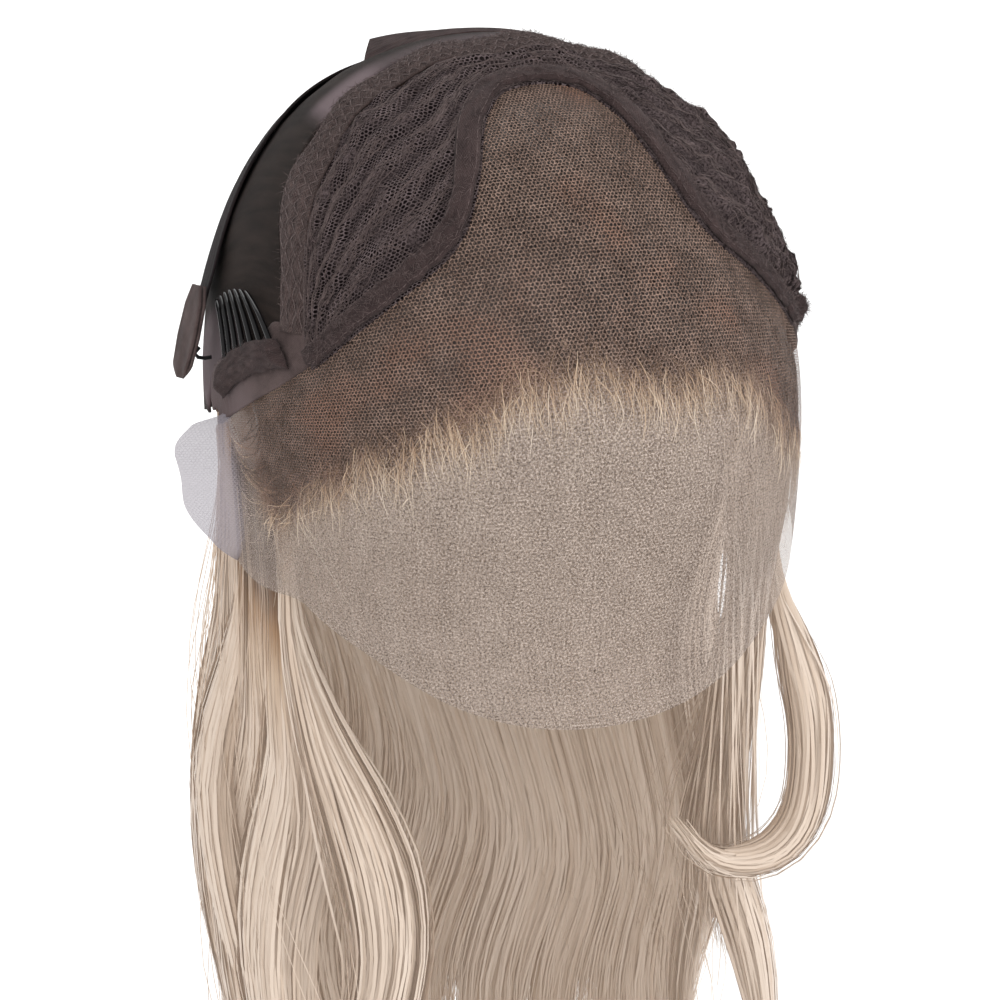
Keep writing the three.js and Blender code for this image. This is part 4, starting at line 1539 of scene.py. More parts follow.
@dataclass
class BackPanel:
    """Smooth stretch panel from the band down to the nape."""

    form: HeadForm
    finishes: Finishes
    columns: int = 120
    rows: int = 72
    side_most: float = 80.0
    middle: float = 150.0
    wall: float = 0.8

    def top(self, side: Array) -> Array:
        """Sweep of the panel's upper edge."""
        band = Cut.BAND_REAR.across(side)
        return np.where(np.abs(side) < 55.0, band, Cut.EAR_TAB_TOP.across(side)) + 1.0

    def spot(self, u: Array, v: Array) -> Pair:
        """Side and sweep of a place on the panel."""
        side = (2.0 * u - 1.0) * self.side_most
        return side, mix(self.top(side), Cut.NAPE_EDGE.across(side), v)

    def place(self, u: Array, v: Array) -> Pair:
        """Lays the panel, with shallow folds.

        Args:
            u: Shares across.
            v: Shares along.

        Returns:
            Points and cloth coordinates.
        """
        side, sweep = self.spot(u, v)
        fold = 0.35 * ripple(side / 5.0, sweep / 40.0, 71) * np.sin(np.pi * np.clip(v, 0.0, 1.0))
        where, _ = self.form.spot(side, sweep, fold - 0.35)
        return where, self.form.flat(side, sweep, self.middle)

    def build(self) -> None:
        """Makes the panel, paler in a patch by the band and by the ears."""
        piece = lay_grid("back_cloth", self.columns, self.rows, self.place)
        side, sweep = self.spot(*shares(self.columns, self.rows))
        pale = smooth(side, -33.0, -29.0) * (1.0 - 0.6 * smooth(side, -22.0, -17.0))
        pale = pale * (1.0 - smooth(side, 2.0, 12.0)) * (1.0 - smooth(sweep, 106.0, 113.0))
        by_ear = smooth(np.abs(side), 64.0, 70.0) * (1.0 - smooth(sweep, 178.0, 194.0))
        write(piece.data, "pale", np.maximum(pale, 0.85 * by_ear))
        declare(piece, self.columns, self.rows, Hold.STRETCHED, ["hair"])
        thicken(piece, self.wall)
        settle(piece, self.finishes.stretch, "stretch_cloth", "back_panel")


@dataclass
class EarTab:
    """Cloth tab in front of and above an ear, drawn into a fold near its lower end."""

    form: HeadForm
    finishes: Finishes
    hand: Hand
    columns: int = 60
    rows: int = 24
    side_least: float = 48.0
    side_most: float = 86.0
    wall: float = 0.9

    def near_ear(self, u: Array) -> Array:
        """Share of the way from the temple to the ear."""
        return u if self.hand is Hand.RIGHT else 1.0 - u

    def place(self, u: Array, v: Array) -> Pair:
        """Lays the tab, rucked near its lower end.

        Args:
            u: Shares across.
            v: Shares along.

        Returns:
            Points and cloth coordinates.
        """
        side = mix(self.side_least, self.side_most, self.near_ear(u))
        under_band = 7.0 * (1.0 - smooth(side, 54.0, 64.0))
        sweep = mix(Cut.LACE_SEAM.at(side) + 1.5, Cut.EAR_TAB_TOP.at(side) - 0.5 + under_band, v)
        tip = smooth(side, 74.0, 82.0) * (1.0 - smooth(sweep, 50.0, 80.0))
        ruck = 0.9 * tip * np.sin(side * 1.6 + 0.05 * sweep) ** 2
        lift = 0.1 + ruck + 0.15 * ripple(side / 6.0, sweep / 9.0, 81)
        where, _ = self.form.spot(self.hand.value * side, sweep, lift)
        return where, strip(side, sweep, 1.43, 0.8)

    def build(self) -> None:
        """Makes the tab."""
        piece = lay_grid(f"ear_cloth_{self.hand.label}", self.columns, self.rows, self.place)
        u, _ = shares(self.columns, self.rows)
        write(piece.data, "pale", smooth(self.near_ear(u), 0.35, 0.7))
        declare(piece, self.columns, self.rows, Hold.STRETCHED, ["hair"])
        thicken(piece, self.wall)
        settle(piece, self.finishes.tab, "tab", f"ear_tab_{self.hand.label}")


@dataclass
class SideComb:
    """Moulded comb sewn in by an ear and bent over the form, and the tape over its spine."""

    form: HeadForm
    finishes: Finishes
    hand: Hand
    teeth: int = 7
    fill: float = 0.46
    spine: float = 0.2
    spine_thick: float = 1.8
    tooth_thick: float = 1.5
    tooth_from: float = 0.1
    lift: float = 0.75
    wide: float = 33.0
    long: float = 26.5
    front: tuple[tuple[float, float], tuple[float, float]] = ((55.5, 49.5), (58.5, 80.0))
    rear: tuple[tuple[float, float], tuple[float, float]] = ((76.0, 63.5), (66.0, 109.0))
    overhang: float = 0.06
    below: float = 0.12
    above: float = 0.2
    tape_height: float = 3.1
    tape_length: float = 35.0
    tape_width: float = 11.0
    columns: int = 80
    rows: int = 30
    wall: float = 0.7
    stitches: int = 16
    stitch: float = 0.038
    fuzz: Fuzz = Fuzz(900, 2.0, 0.12, 92)
    drawn: tuple[tuple[float, float], ...] = ((0.15, 1.0), (0.2, 1.0), (0.2, 0.98), (0.2, 0.96),
                                              (0.15, 0.94), (0.06, 0.85), (0.03, 0.6))

    def spot(self, across: Array, along: Array, height: Array) -> Pair:
        """Points and normals over the form, for shares across the comb and along its teeth.

        Args:
            across: 0 at the front tooth, 1 at the rear one.
            along: 0 at the spine, 1 at the tips.
            height: Height over the comb's lower face.

        Returns:
            The points and the normals there.
        """
        front = [mix(low, high, along) for low, high in zip(*self.front)]
        rear = [mix(low, high, along) for low, high in zip(*self.rear)]
        side, sweep = (mix(near, far, across) for near, far in zip(front, rear))
        return self.form.spot(self.hand.value * side, sweep, self.lift + height)

    def make_spine(self) -> Piece:
        """The flat spine with rounded edges, still straight."""
        deep = self.spine * self.long
        middle = (self.wide / 2.0, deep / 2.0, self.spine_thick / 2.0)
        deselect()
        bpy.ops.mesh.primitive_cube_add(size=1.0, location=middle)
        piece = bpy.context.object
        piece.name = f"comb_body_{self.hand.label}"
        piece.scale = (self.wide, deep, self.spine_thick)
        bpy.ops.object.transform_apply(location=True, rotation=True, scale=True)
        bpy.ops.object.mode_set(mode="EDIT")
        bpy.ops.mesh.select_all(action="SELECT")
        bpy.ops.mesh.bevel(offset=0.5, segments=2, affect="EDGES", clamp_overlap=True)
        bpy.ops.mesh.select_all(action="SELECT")
        bpy.ops.mesh.subdivide(number_cuts=6)
        bpy.ops.object.mode_set(mode="OBJECT")
        return piece

    def make_tooth(self) -> Piece:
        """One round tooth with a blunt tip, drawn out step by step, still straight."""
        half = self.fill * self.wide / (self.teeth - 1 + self.fill) / 2.0
        upright = (np.pi / 2.0, 0.0, 0.0)
        deselect()
        bpy.ops.mesh.primitive_circle_add(vertices=12, radius=1.0, fill_type="NGON", rotation=upright)
        piece = bpy.context.object
        piece.scale = (half, self.tooth_thick / 2.0, 1.0)
        bpy.ops.object.transform_apply(location=True, rotation=True, scale=True)
        reach = (1.0 - self.tooth_from) * self.long
        bpy.ops.object.mode_set(mode="EDIT")
        bpy.ops.mesh.select_all(action="SELECT")
        bpy.ops.transform.translate(value=(0.0, self.tooth_from * self.long, self.tooth_thick / 2.0))
        for share, size in self.drawn:
            bpy.ops.mesh.extrude_region_move(TRANSFORM_OT_translate={"value": (0.0, share * reach, 0.0)})
            bpy.ops.transform.resize(value=(size, 1.0, size))
        bpy.ops.object.mode_set(mode="OBJECT")
        return piece

    def build_comb(self) -> None:
        """Copies the tooth along the spine, joins them and bends the comb over the form."""
        spine, tooth = self.make_spine(), self.make_tooth()
        made = [tooth]
        for _ in range(self.teeth - 1):
            twin = tooth.copy()
            twin.data = tooth.data.copy()
            bpy.context.scene.collection.objects.link(twin)
            made.append(twin)
        pitch = self.wide / (self.teeth - 1 + self.fill)
        for number, twin in enumerate(made):
            twin.data.transform(Matrix.Translation(((number + self.fill / 2.0) * pitch, 0.0, 0.0)))
        deselect()
        for twin in made:
            twin.select_set(True)
        spine.select_set(True)
        bpy.context.view_layer.objects.active = spine
        bpy.ops.object.join()
        local = points_of(spine.data)
        where, _ = self.spot(local[:, 0] / self.wide, local[:, 1] / self.long, local[:, 2])
        move_points(spine.data, where)
        turn_outwards(spine)
        bpy.ops.object.shade_smooth_by_angle(angle=0.9)
        settle(spine, self.finishes.comb, "comb", f"comb_{self.hand.label}")

    def tape_at(self, u: Array, v: Array, lift: Array) -> Pair:
        """Face of the tape, which wraps down past the spine.

        Args:
            u: Shares along.
            v: Shares across.
            lift: Height over the face.

        Returns:
            Points and normals.
        """
        across = mix(-self.overhang, 1.0 + self.overhang, u)
        along = mix(-self.below, self.above, v)
        ends = smooth(np.abs(across - 0.5), 0.5, 0.5 + self.overhang)
        over = np.maximum(ends, smooth(-along, 0.0, self.below))
        pucker = 0.35 * np.sin(3.0 * np.pi * u) * np.sin(np.pi * v) + 0.3 * ripple(u * 14.0, v * 4.0, 91)
        height = mix(self.tape_height - 0.8 * smooth(v, 0.8, 1.0), 0.2, over) + pucker
        return self.spot(across, along, height + lift)

    def tape_place(self, u: Array, v: Array) -> Pair:
        """Points and cloth coordinates of the tape."""
        return self.tape_at(u, v, 0.0 * u)[0], strip(u, v, self.tape_length, self.tape_width)

    def build_tape(self) -> None:
        """Makes the tape, its stitches and its fuzz."""
        piece = lay_grid(f"comb_cover_{self.hand.label}", self.columns, self.rows, self.tape_place)
        declare(piece, self.columns, self.rows, Hold.LAID, [f"comb_{self.hand.label}"])
        thicken(piece, self.wall)
        settle(piece, self.finishes.tape, "tape", f"comb_tape_{self.hand.label}")
        strands = Strands()
        start = np.linspace(0.02, 0.95, self.stitches)
        for v in (0.08, 0.92):
            begin = np.stack([start, np.full(start.shape, v)], -1)
            sew(strands, self.tape_at, begin, begin + np.array([self.stitch, 0.0]), 0.2, 0.34)
        fluff(strands, self.tape_at, self.fuzz)
        settle(strands.make(f"comb_stitches_{self.hand.label}"), self.finishes.stitch, "tape")

    def build(self) -> None:
        """Makes the comb and its tape."""
        self.build_comb()
        self.build_tape()


@dataclass
class BackStrap:
    """Elastic from ear to ear across the back, its folded ends and their hooks."""

    form: HeadForm
    finishes: Finishes
    side_most: float = 68.0
    length: float = 230.0
    width: float = 24.0
    rise: float = 1.2
    wall: float = 0.7
    squares: tuple[int, int] = (220, 20)
    end_wide: float = 14.0
    end_length: float = 52.0
    end_thick: float = 3.0
    end_wall: float = 0.8
    end_squares: tuple[int, int] = (20, 60)
    end_shape: tuple[tuple[float, ...], tuple[float, ...]] = ((0.0, 0.2, 0.55, 0.85, 1.0),
                                                             (0.55, 0.9, 1.0, 0.85, 0.5))

    def place(self, u: Array, v: Array) -> Pair:
        """Lays the ribbed strap across the back.

        Args:
            u: Shares along.
            v: Shares across.

        Returns:
            Points and cloth coordinates.
        """
        side = (2.0 * u - 1.0) * self.side_most
        sweep = mix(Cut.STRAP_FRONT.across(side), Cut.STRAP_REAR.across(side), v)
        rib = 0.08 * np.sin(10.0 * np.pi * v)
        where, _ = self.form.spot(side, sweep, Cut.STRAP_LIFT.across(side) + self.rise + rib - 0.2)
        return where, strip(u, v, self.length, self.width)

    def end_place(self, hand: Hand) -> Place:
        """Placing rule of one folded end: out along one face, round the tip and back on the other.

        Args:
            hand: Side of the cap.

        Returns:
            The rule, which gives points and cloth coordinates for shares across and along.
        """
        top = self.form.spot(hand.value * 64.0, 112.0, 6.2)[0]
        tip = self.form.spot(hand.value * 80.0, 109.0, 10.0)[0]
        run = unit(tip - top)
        wide = np.array([0.0, 1.0, 0.0])
        wide = unit(wide - run * (wide @ run))
        thick = np.cross(run, wide) * hand.value

        def place(u: Array, v: Array) -> Pair:
            """Lays the folded end.

            Args:
                u: Shares across.
                v: Shares along, the fold in the middle.

            Returns:
                Points and cloth coordinates.
            """
            out = 1.0 - np.abs(v - 0.5) * 2.0
            bulge = 1.0 - (1.0 - np.clip(out / 0.9, 0.0, 1.0)) ** 2
            reach = np.sqrt(np.clip(bulge, 0.0, 1.0)) * 0.1 + out * 0.9
            side = np.cos(np.pi * np.clip((v - 0.42) / 0.16, 0.0, 1.0))
            half = self.end_wide / 2.0 * np.interp(reach, *self.end_shape)
            curl = 0.25 * np.cos(3.0 * np.pi * u) + 0.5 * (1.0 - reach) * np.sin(2.0 * np.pi * u)
            depth = side * (self.end_thick / 2.0 - 0.55) + curl
            where = top + (tip - top) * reach[:, None] + wide * ((2.0 * u - 1.0) * half)[:, None]
            return where + thick * depth[:, None], strip(u, v, self.end_wide, self.end_length)

        return place

    def build(self) -> None:
        """Makes the strap, its ends and the finish of its hooks."""
        piece = lay_grid("back_elastic", *self.squares, self.place)
        declare(piece, *self.squares, Hold.STRETCHED, ["back_panel"])
        thicken(piece, self.wall)
        settle(piece, self.finishes.elastic, "elastic", "elastic_strap")
        for hand in Hand:
            leaf = lay_grid(f"folded_end_{hand.label}", *self.end_squares, self.end_place(hand))
            declare(leaf, *self.end_squares, Hold.FOLDED, [f"strap_hook_{hand.label}"])
            thicken(leaf, self.end_wall)
            settle(leaf, self.finishes.tab, "tab", f"strap_end_{hand.label}")
            coat(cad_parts[f"strap_hook_{hand.label}"], self.finishes.hook)


@dataclass
class CrownTape:
    """Tape behind the crown, bowed over the cap and standing up on its rear edge at its long end."""

    form: HeadForm
    finishes: Finishes
    seat: tuple[float, float] = (13.0, 52.0)
    long_end: float = 38.0
    short_end: float = 18.0
    depth: float = 13.0
    thick: float = 1.6
    lift: float = 0.1
    bow: float = 12.0
    stand: float = 35.0
    hem: float = 1.5
    slant: float = 5.0
    columns: int = 70
    rows: int = 24
    wall: float = 1.3

    def place(self, u: Array, v: Array) -> Pair:
        """Lays the tape over the cap behind the crown.

        Args:
            u: Shares along, from the long end.
            v: Shares across, from the front edge.

        Returns:
            Points and cloth coordinates.
        """
        x, y = self.seat
        spread = (x / self.form.half_width) ** self.form.power + (y / self.form.back) ** self.form.power
        seat = np.array([x, y, self.form.above * (1.0 - spread) ** (1.0 / self.form.power)])
        away = self.form.outward(seat)
        run = unit(np.array([1.0, 0.0, 0.0]) - away * away[0])
        deep = np.cross(away, run)
        along = mix(self.slant * v - self.long_end, self.short_end, u)
        tilt = np.radians(self.stand) * (np.maximum(-along, 0.0) / self.long_end) ** 1.8
        high = self.lift + self.thick - 0.2 + 0.18 * np.sin(7.0 * u) + 0.12 * np.sin(14.0 * np.pi * v)
        level = self.depth * v * np.cos(tilt) - high * np.sin(tilt) - self.depth / 2.0
        up = self.depth * v * np.sin(tilt) + high * np.cos(tilt) - self.bow * (along / self.long_end) ** 2
        up = up - self.hem * (1.0 - smooth(v, 0.0, 0.4))
        where = seat + run * along[:, None] + deep * level[:, None] + away * up[:, None]
        where = where + np.array([0.0, 0.0, self.form.centre_z])
        return where, strip(u, v, self.long_end + self.short_end, self.depth)

    def build(self) -> None:
        """Makes the tape."""
        piece = lay_grid("crown_elastic", self.columns, self.rows, self.place)
        declare(piece, self.columns, self.rows, Hold.LAID, ["back_panel"])
        thicken(piece, self.wall)
        settle(piece, self.finishes.tape, "elastic", "crown_tape")


@dataclass(frozen=True)
class LockRoute:
    """A lock that leaves the rest on a course of its own."""

    points: tuple[tuple[float, float, float], ...]
    wide: float
    thick: float
    grown: tuple[float, float]
    strands: int
    steps: int = 19

    def course(self, steps: int) -> Pair:
        """Even points along a smooth curve through the route.

        Args:
            steps: Number of points.

        Returns:
            The points and the curve's directions there.
        """
        p = np.array(self.points, float)
        p = np.concatenate([2.0 * p[:1] - p[1:2], p, 2.0 * p[-1:] - p[-2:-1]])
        t = np.linspace(0.0, 1.0, 24, endpoint=False)[:, None]
        bits = []
        for a, b, c, d in zip(p[:-3], p[1:-2], p[2:-1], p[3:]):
            bend = (2 * a - 5 * b + 4 * c - d) * t**2
            bits.append(0.5 * (2 * b + (c - a) * t + bend + (3 * b - a - 3 * c + d) * t**3))
        dense = np.concatenate(bits + [p[-2:-1]])
        length = run_length(dense[None])[0]
        even = np.linspace(0.0, length[-1], steps)
        path = np.stack([np.interp(even, length, dense[:, k]) for k in range(3)], -1)
        return path, unit(np.gradient(path, axis=0))


CHEEK_LOCK = LockRoute(
    ((69, -19, -54), (72, -22, -86), (72, -24, -118), (71, -24, -150), (69, -23, -180), (65, -20, -210),
     (63, -16, -238), (68, -12, -266), (78, -9, -298), (86, -6, -336), (90, -3, -378)),
    wide=18.0, thick=15.0, grown=(0.25, 0.5), strands=540)
CURL_LOCK = LockRoute(
    ((72, -25, -134), (74, -27, -154), (80, -29, -176), (86, -30, -200), (88, -30, -222), (86, -30, -240),
     (78, -31, -250), (66, -32, -252), (54, -32, -247), (44, -29, -233)),
    wide=13.0, thick=14.0, grown=(0.1, 0.4), strands=480, steps=28)


@dataclass(frozen=True)
class FreeLock:
    """A lock that hangs free of the curtain."""

    turn: float
    tip: float
    wide: float
    thick: float
    out: float
    phase: float
    strands: int


TEMPLE_LOCK = LockRoute(
    ((-70, -26, -112), (-71, -32, -140), (-66, -38, -170), (-57, -41, -200), (-49, -39, -230),
     (-45, -33, -262), (-48, -27, -296), (-54, -24, -330), (-56, -24, -360)),
    wide=8.0, thick=26.0, grown=(0.0, 0.5), strands=260)
FREE_LOCKS = (
    FreeLock(turn=73.0, tip=-352.0, wide=22.0, thick=12.0, out=4.0, phase=40.0, strands=430),
    FreeLock(turn=93.0, tip=-390.0, wide=24.0, thick=12.0, out=5.0, phase=150.0, strands=430),
)


@dataclass
class LongHair:
    """The hanging hair: a curtain of wavy locks, free locks, a lining in the cap and loose strands."""

    form: HeadForm
    finishes: Finishes
    first_turn: float = 66.0
    last_turn: float = 264.0
    locks: int = 14
    inset: float = 4.1
    root_thick: float = 3.4
    body_thick: float = 12.0
    ridge: float = 6.0
    wave_length: float = 165.0
    sway: float = 7.0
    puff: float = 4.0
    loose_after: float = 90.0
    notch: float = 50.0
    uneven: float = 12.0
    tip_thick: float = 3.0
    in_cap: float = 0.12
    steps: int = 19
    outer_strands: int = 450
    inner_strands: int = 170
    temple_strands: int = 760
    lining_strands: int = 1250
    lining_steps: int = 12
    stray_strands: int = 300
    lock_wide: float = 21.0
    lock_long: float = 290.0
    bed_squares: tuple[int, int] = (60, 40)
    bed_wall: float = 2.2

    def fall(self, turn: Array, z: Array, inset: float, out: float,
             phase: Array) -> tuple[Array, Array, Array, Array]:
        """Course of the hanging hair, which follows the cap, then flares and waves.

        Args:
            turn: Angle from the face round by the left ear.
            z: Height.
            inset: How far inside the form it starts.
            out: Added flare.
            phase: Shift of the wave.

        Returns:
            Points, level outward directions, level directions along the curtain, and how loose it hangs.
        """
        turn, z = np.broadcast_arrays(np.asarray(turn, float), np.asarray(z, float))
        release = Cut.FALL_RELEASE.at(turn)
        fallen = np.maximum(release - z, 0.0)
        loose = smooth(fallen, 0.0, self.loose_after)
        a = np.radians(-turn)
        bearing = np.stack([np.sin(a), -np.cos(a), 0.0 * a], -1)
        point = self.form.outline(bearing, np.maximum(z, release), inset)
        cycle = 2.0 * np.pi * fallen / self.wave_length + phase
        flare = Cut.FALL_FLARE.at(turn) + self.puff * np.cos(cycle) + out
        along = np.stack([-bearing[..., 1], bearing[..., 0], 0.0 * a], -1)
        swung = loose * self.sway * np.sin(cycle)
        point = point + bearing * (loose * flare)[..., None] + along * swung[..., None]
        point[..., 2] = z
        return point, bearing, along, loose

    def depth(self, lock: Array, v: Array, loose: Array) -> Pair:
        """How far the curtain stands out and in from its course.

        Args:
            lock: Place across, a whole number between two locks.
            v: Share of the way from the root to the tip.
            loose: How loose it hangs there.

        Returns:
            Both distances.
        """
        hung = (v - self.in_cap) / (1.0 - self.in_cap)
        taper = 1.0 - smooth(hung, 0.6, 1.0)
        out = loose * taper * self.ridge * np.abs(np.sin(np.pi * lock))
        return out, mix(self.root_thick, mix(self.tip_thick, self.body_thick, taper), loose)

    def level(self, turn: Array, v: Array, tip: Array) -> Array:
        """Height of a place along the hair.

        Args:
            turn: Angle from the face round by the left ear.
            v: Share of the way from the root to the tip.
            tip: Height of the tip.

        Returns:
            The height of each place.
        """
        release = Cut.FALL_RELEASE.at(turn)
        inside = mix(Cut.FALL_ROOT.at(turn), release, v / self.in_cap)
        return np.where(v < self.in_cap, inside, mix(release, tip, (v - self.in_cap) / (1.0 - self.in_cap)))

    def turn(self, lock: Array) -> Array:
        """Angle from the face round by the left ear, for a place across the curtain."""
        return mix(self.first_turn, self.last_turn, lock / self.locks)

    def tip(self, lock: Array) -> Array:
        """Height of the hair's ends, lowest in the middle of each lock."""
        body = np.abs(np.sin(np.pi * lock))
        return Cut.FALL_TIP.at(self.turn(lock)) + self.notch * (1.0 - body) + self.uneven * np.sin(2.4 * lock)

    def face(self, lock: Array, v: Array, share: float) -> Array:
        """Points through the curtain.

        Args:
            lock: Place across.
            v: Share of the way from the root to the tip.
            share: Depth, from the inner face at 0 to the outer face at 1.

        Returns:
            The points.
        """
        turn = self.turn(lock)
        z = self.level(turn, v, self.tip(lock))
        point, bearing, _, loose = self.fall(turn, z, self.inset, 0.0, 1.6 * np.sin(0.45 * lock))
        out, into = self.depth(lock, v, loose)
        return point + bearing * mix(-into, out, share)[..., None]

    def growth(self, path: Array, shown: Union[float, Array]) -> Array:
        """Length grown since the hair came into view, with a given start there."""
        return np.clip(run_length(path) - shown + GROWN_IN_VIEW, 0.0, OLDEST_HAIR)

    def core(self) -> None:
        """Makes the body of the curtain, which fills the space between its strands; its tone is lowered where
        two locks meet, as painted shade between the locks.
        """
        wide, high = self.locks * 10, 44
        across, down = np.linspace(0.3, self.locks - 0.3, wide + 1), np.linspace(0.0, 1.0, high + 1)
        lock, v = np.meshgrid(across, down, indexing="ij")
        faces = [self.face(lock, v, share).reshape(-1, 3) for share in (0.92, 0.1)]
        ids = np.arange((wide + 1) * (high + 1)).reshape(wide + 1, high + 1)
        back = ids + ids.size
        quads = [np.stack([ids[1:, :-1], ids[:-1, :-1], ids[:-1, 1:], ids[1:, 1:]], -1).reshape(-1, 4),
                 np.stack([back[:-1, :-1], back[1:, :-1], back[1:, 1:], back[:-1, 1:]], -1).reshape(-1, 4)]
        rims = ((ids[0], back[0]), (back[-1], ids[-1]), (back[:, 0], ids[:, 0]), (ids[:, -1], back[:, -1]))
        for a, b in rims:
            quads.append(np.stack([a[:-1], b[:-1], b[1:], a[1:]], -1))
        piece = mesh_piece("hair_body", np.concatenate(faces), np.concatenate(quads))
        # painted shade: the core's tone is lowest where two locks meet
        tone = 0.4 + 0.25 * np.abs(np.sin(np.pi * lock)).ravel()
        ages = (0.0, self.in_cap - 0.02, self.in_cap, self.in_cap + 0.08)
        grown = np.interp(v.ravel(), ages, (3.0, 8.0, 16.0, 46.0))
        fibre = strip(lock.ravel(), v.ravel(), self.lock_wide, self.lock_long)
        write(piece.data, "fibre", np.tile(fibre, (2, 1)))
        write(piece.data, "tone", np.tile(tone, 2))
        write(piece.data, "grown", np.tile(grown, 2))
        turn_outwards(piece)
        settle(piece, self.finishes.hair, "hair", "hair")

    def curtain(self, strands: Strands, lock: int, count: int, outer: bool, rng: Rng) -> None:
        """Adds the strands of one lock on one face of the curtain.

        Args:
            strands: Where they are gathered.
            lock: Number of the lock.
            count: Strands.
            outer: Whether they lie on the outer face.
            rng: Source of their variety.
        """
        v = np.linspace(0.0, 1.0, self.steps)[None, :] ** 0.92
        middle = lock + 0.5
        off = rng.uniform(-0.6, 0.6, (count, 1))
        gather = 1.0 - 0.15 * smooth(v, 0.4, 1.0)
        lateral = np.clip(middle + off * gather, 0.0, self.locks)
        turn = self.turn(lateral)
        end = self.tip(np.clip(middle + 0.45 * off, 0.0, self.locks)) + rng.uniform(-14.0, 26.0, (count, 1))
        z = self.level(turn, v, end)
        phase = 1.6 * np.sin(0.45 * lateral) + rng.normal(0.0, 0.13, (count, 1))
        point, bearing, along, loose = self.fall(turn, z, self.inset, 0.0, phase)
        out, into = self.depth(lateral, v, loose)
        share = rng.uniform(0.94, 1.03, (count, 1)) if outer else rng.uniform(-0.03, 0.08, (count, 1))
        first, last = 0.4 - lateral[:, :1], lateral[:, :1] - self.locks + 0.4
        rim = np.sign(np.clip(first, 0.0, 1.0) - np.clip(last, 0.0, 1.0))
        share = np.where(rim != 0.0, rng.uniform(0.0, 1.0, (count, 1)), share)
        swing = rng.normal(0.0, 1.2, (count, 1))
        pace = rng.uniform(3.0, 9.0, (count, 1))
        stray = swing * np.sin(v * pace + rng.uniform(0, FULL_TURN, (count, 1)))
        reach = mix(-into, out, share) + loose * rng.normal(0.0, 0.25, (count, 1))
        point = point + bearing * reach[..., None] + along * (loose * stray)[..., None]
        slope = self.ridge * np.pi * np.cos(np.pi * lateral) * np.sign(np.sin(np.pi * lateral))
        tilt = slope / self.lock_wide
        facing = bearing + along * (tilt * loose * (1.0 if outer else 0.0))[..., None]
        facing = unit(facing) + 1.4 * along * rim[..., None] + rng.normal(0.0, 0.25, (count, 1, 3))
        width = rng.uniform(0.46, 1.14, (count, 1)) * (1.0 - 0.8 * smooth(v, 0.72, 1.0))
        width = width * (0.55 + 0.45 * loose)
        # inner strands sit slightly lower in tone: painted shade on the curtain's inner face
        tone = np.clip(rng.normal((0.52 if outer else 0.5) + 0.1 * np.sin(2.9 * lock), 0.18, count), 0.0, 1.0)
        root = turn[:, :1]
        shown = np.maximum(Cut.FALL_ROOT.at(root) - Cut.FALL_RELEASE.at(root), 0.0)
        shown = np.where((root > 68.0) & (root < 92.0), shown + 8.0, shown - 30.0)
        strands.add(point, width, facing, tone, self.growth(point, shown))

    def free(self, strands: Strands, lock: FreeLock, rng: Rng) -> None:
        """Adds a lock that hangs free.

        Args:
            strands: Where it is gathered.
            lock: Its course and sizes.
            rng: Source of its variety.
        """
        count = lock.strands
        share = np.linspace(0.0, 1.0, self.steps)[None, :]
        z = mix(Cut.FALL_ROOT.at(lock.turn), lock.tip + rng.uniform(-4.0, 28.0, (count, 1)), share)
        phase = np.radians(lock.phase)
        point, bearing, along, loose = self.fall(lock.turn, z, self.inset + 2.0, lock.out, phase)
        taper = mix(1.0, 0.3, smooth(share, 0.72, 1.02))
        round_way = rng.uniform(0.0, 2.0 * np.pi, (count, 1))
        ring = np.sqrt(rng.uniform(0.25, 1.0, (count, 1)))
        wide = mix(12.0, lock.wide, loose) * taper / 2.0 * ring * np.cos(round_way)
        thick = mix(2.6, lock.thick, loose) * taper / 2.0 * ring * np.sin(round_way)
        stray = loose * rng.normal(0.0, 1.2, (count, 1))
        stray = stray * np.sin(9.0 * share + rng.uniform(0, FULL_TURN, (count, 1)))
        path = point + along * (wide + stray)[..., None] + bearing * thick[..., None]
        facing = bearing * np.sin(round_way)[..., None] + along * np.cos(round_way)[..., None]
        width = rng.uniform(0.6, 1.2, (count, 1)) * (1.0 - 0.8 * smooth(share, 0.75, 1.0))
        tone = np.clip(rng.normal(0.6, 0.2, count), 0.0, 1.0)
        shown = Cut.FALL_ROOT.at(lock.turn) - Cut.FALL_RELEASE.at(lock.turn)
        facing = facing + rng.normal(0.0, 0.2, (count, 1, 3))
        strands.add(path, width, facing, tone, self.growth(path, shown - 8.0))

    def routed(self, strands: Strands, lock: LockRoute, rng: Rng) -> None:
        """Adds a lock that runs on its own route.

        Args:
            strands: Where it is gathered.
            lock: Its route and sizes.
            rng: Source of its variety.
        """
        count, fine = lock.strands, 400
        path, run = lock.course(fine + 1)
        share = np.linspace(0.0, 1.0, lock.steps)[None, :] * rng.uniform(0.84, 1.0, (count, 1))
        index = (share * fine).astype(int)
        path, run = path[index], run[index]
        thick_way = unit(np.cross(run, np.array([0.0, 1.0, 0.0])))
        wide_way = np.cross(thick_way, run)
        grown = smooth(share, *lock.grown)
        taper = mix(1.0, 0.3, smooth(share, 0.7, 1.0))
        round_way = rng.uniform(0.0, 2.0 * np.pi, (count, 1)) + 0.8 * share
        ring = np.sqrt(rng.uniform(0.2, 1.0, (count, 1))) * np.where(rng.random((count, 1)) < 0.08, 1.25, 1.0)
        wide = mix(7.2, lock.wide, grown) * taper / 2.0 * ring * np.cos(round_way)
        thick = mix(2.6, lock.thick, grown) * taper / 2.0 * ring * np.sin(round_way)
        stray = rng.normal(0.0, 0.9, (count, 1))
        stray = stray * np.sin(8.0 * share + rng.uniform(0, FULL_TURN, (count, 1)))
        point = path + wide_way * (wide + stray)[..., None] + thick_way * (thick + stray)[..., None]
        facing = wide_way * np.cos(round_way)[..., None] + thick_way * np.sin(round_way)[..., None]
        width = rng.uniform(0.6, 1.2, (count, 1)) * (1.0 - 0.8 * smooth(share, 0.78, 1.0))
        tone = np.clip(rng.normal(0.6, 0.2, count), 0.0, 1.0)
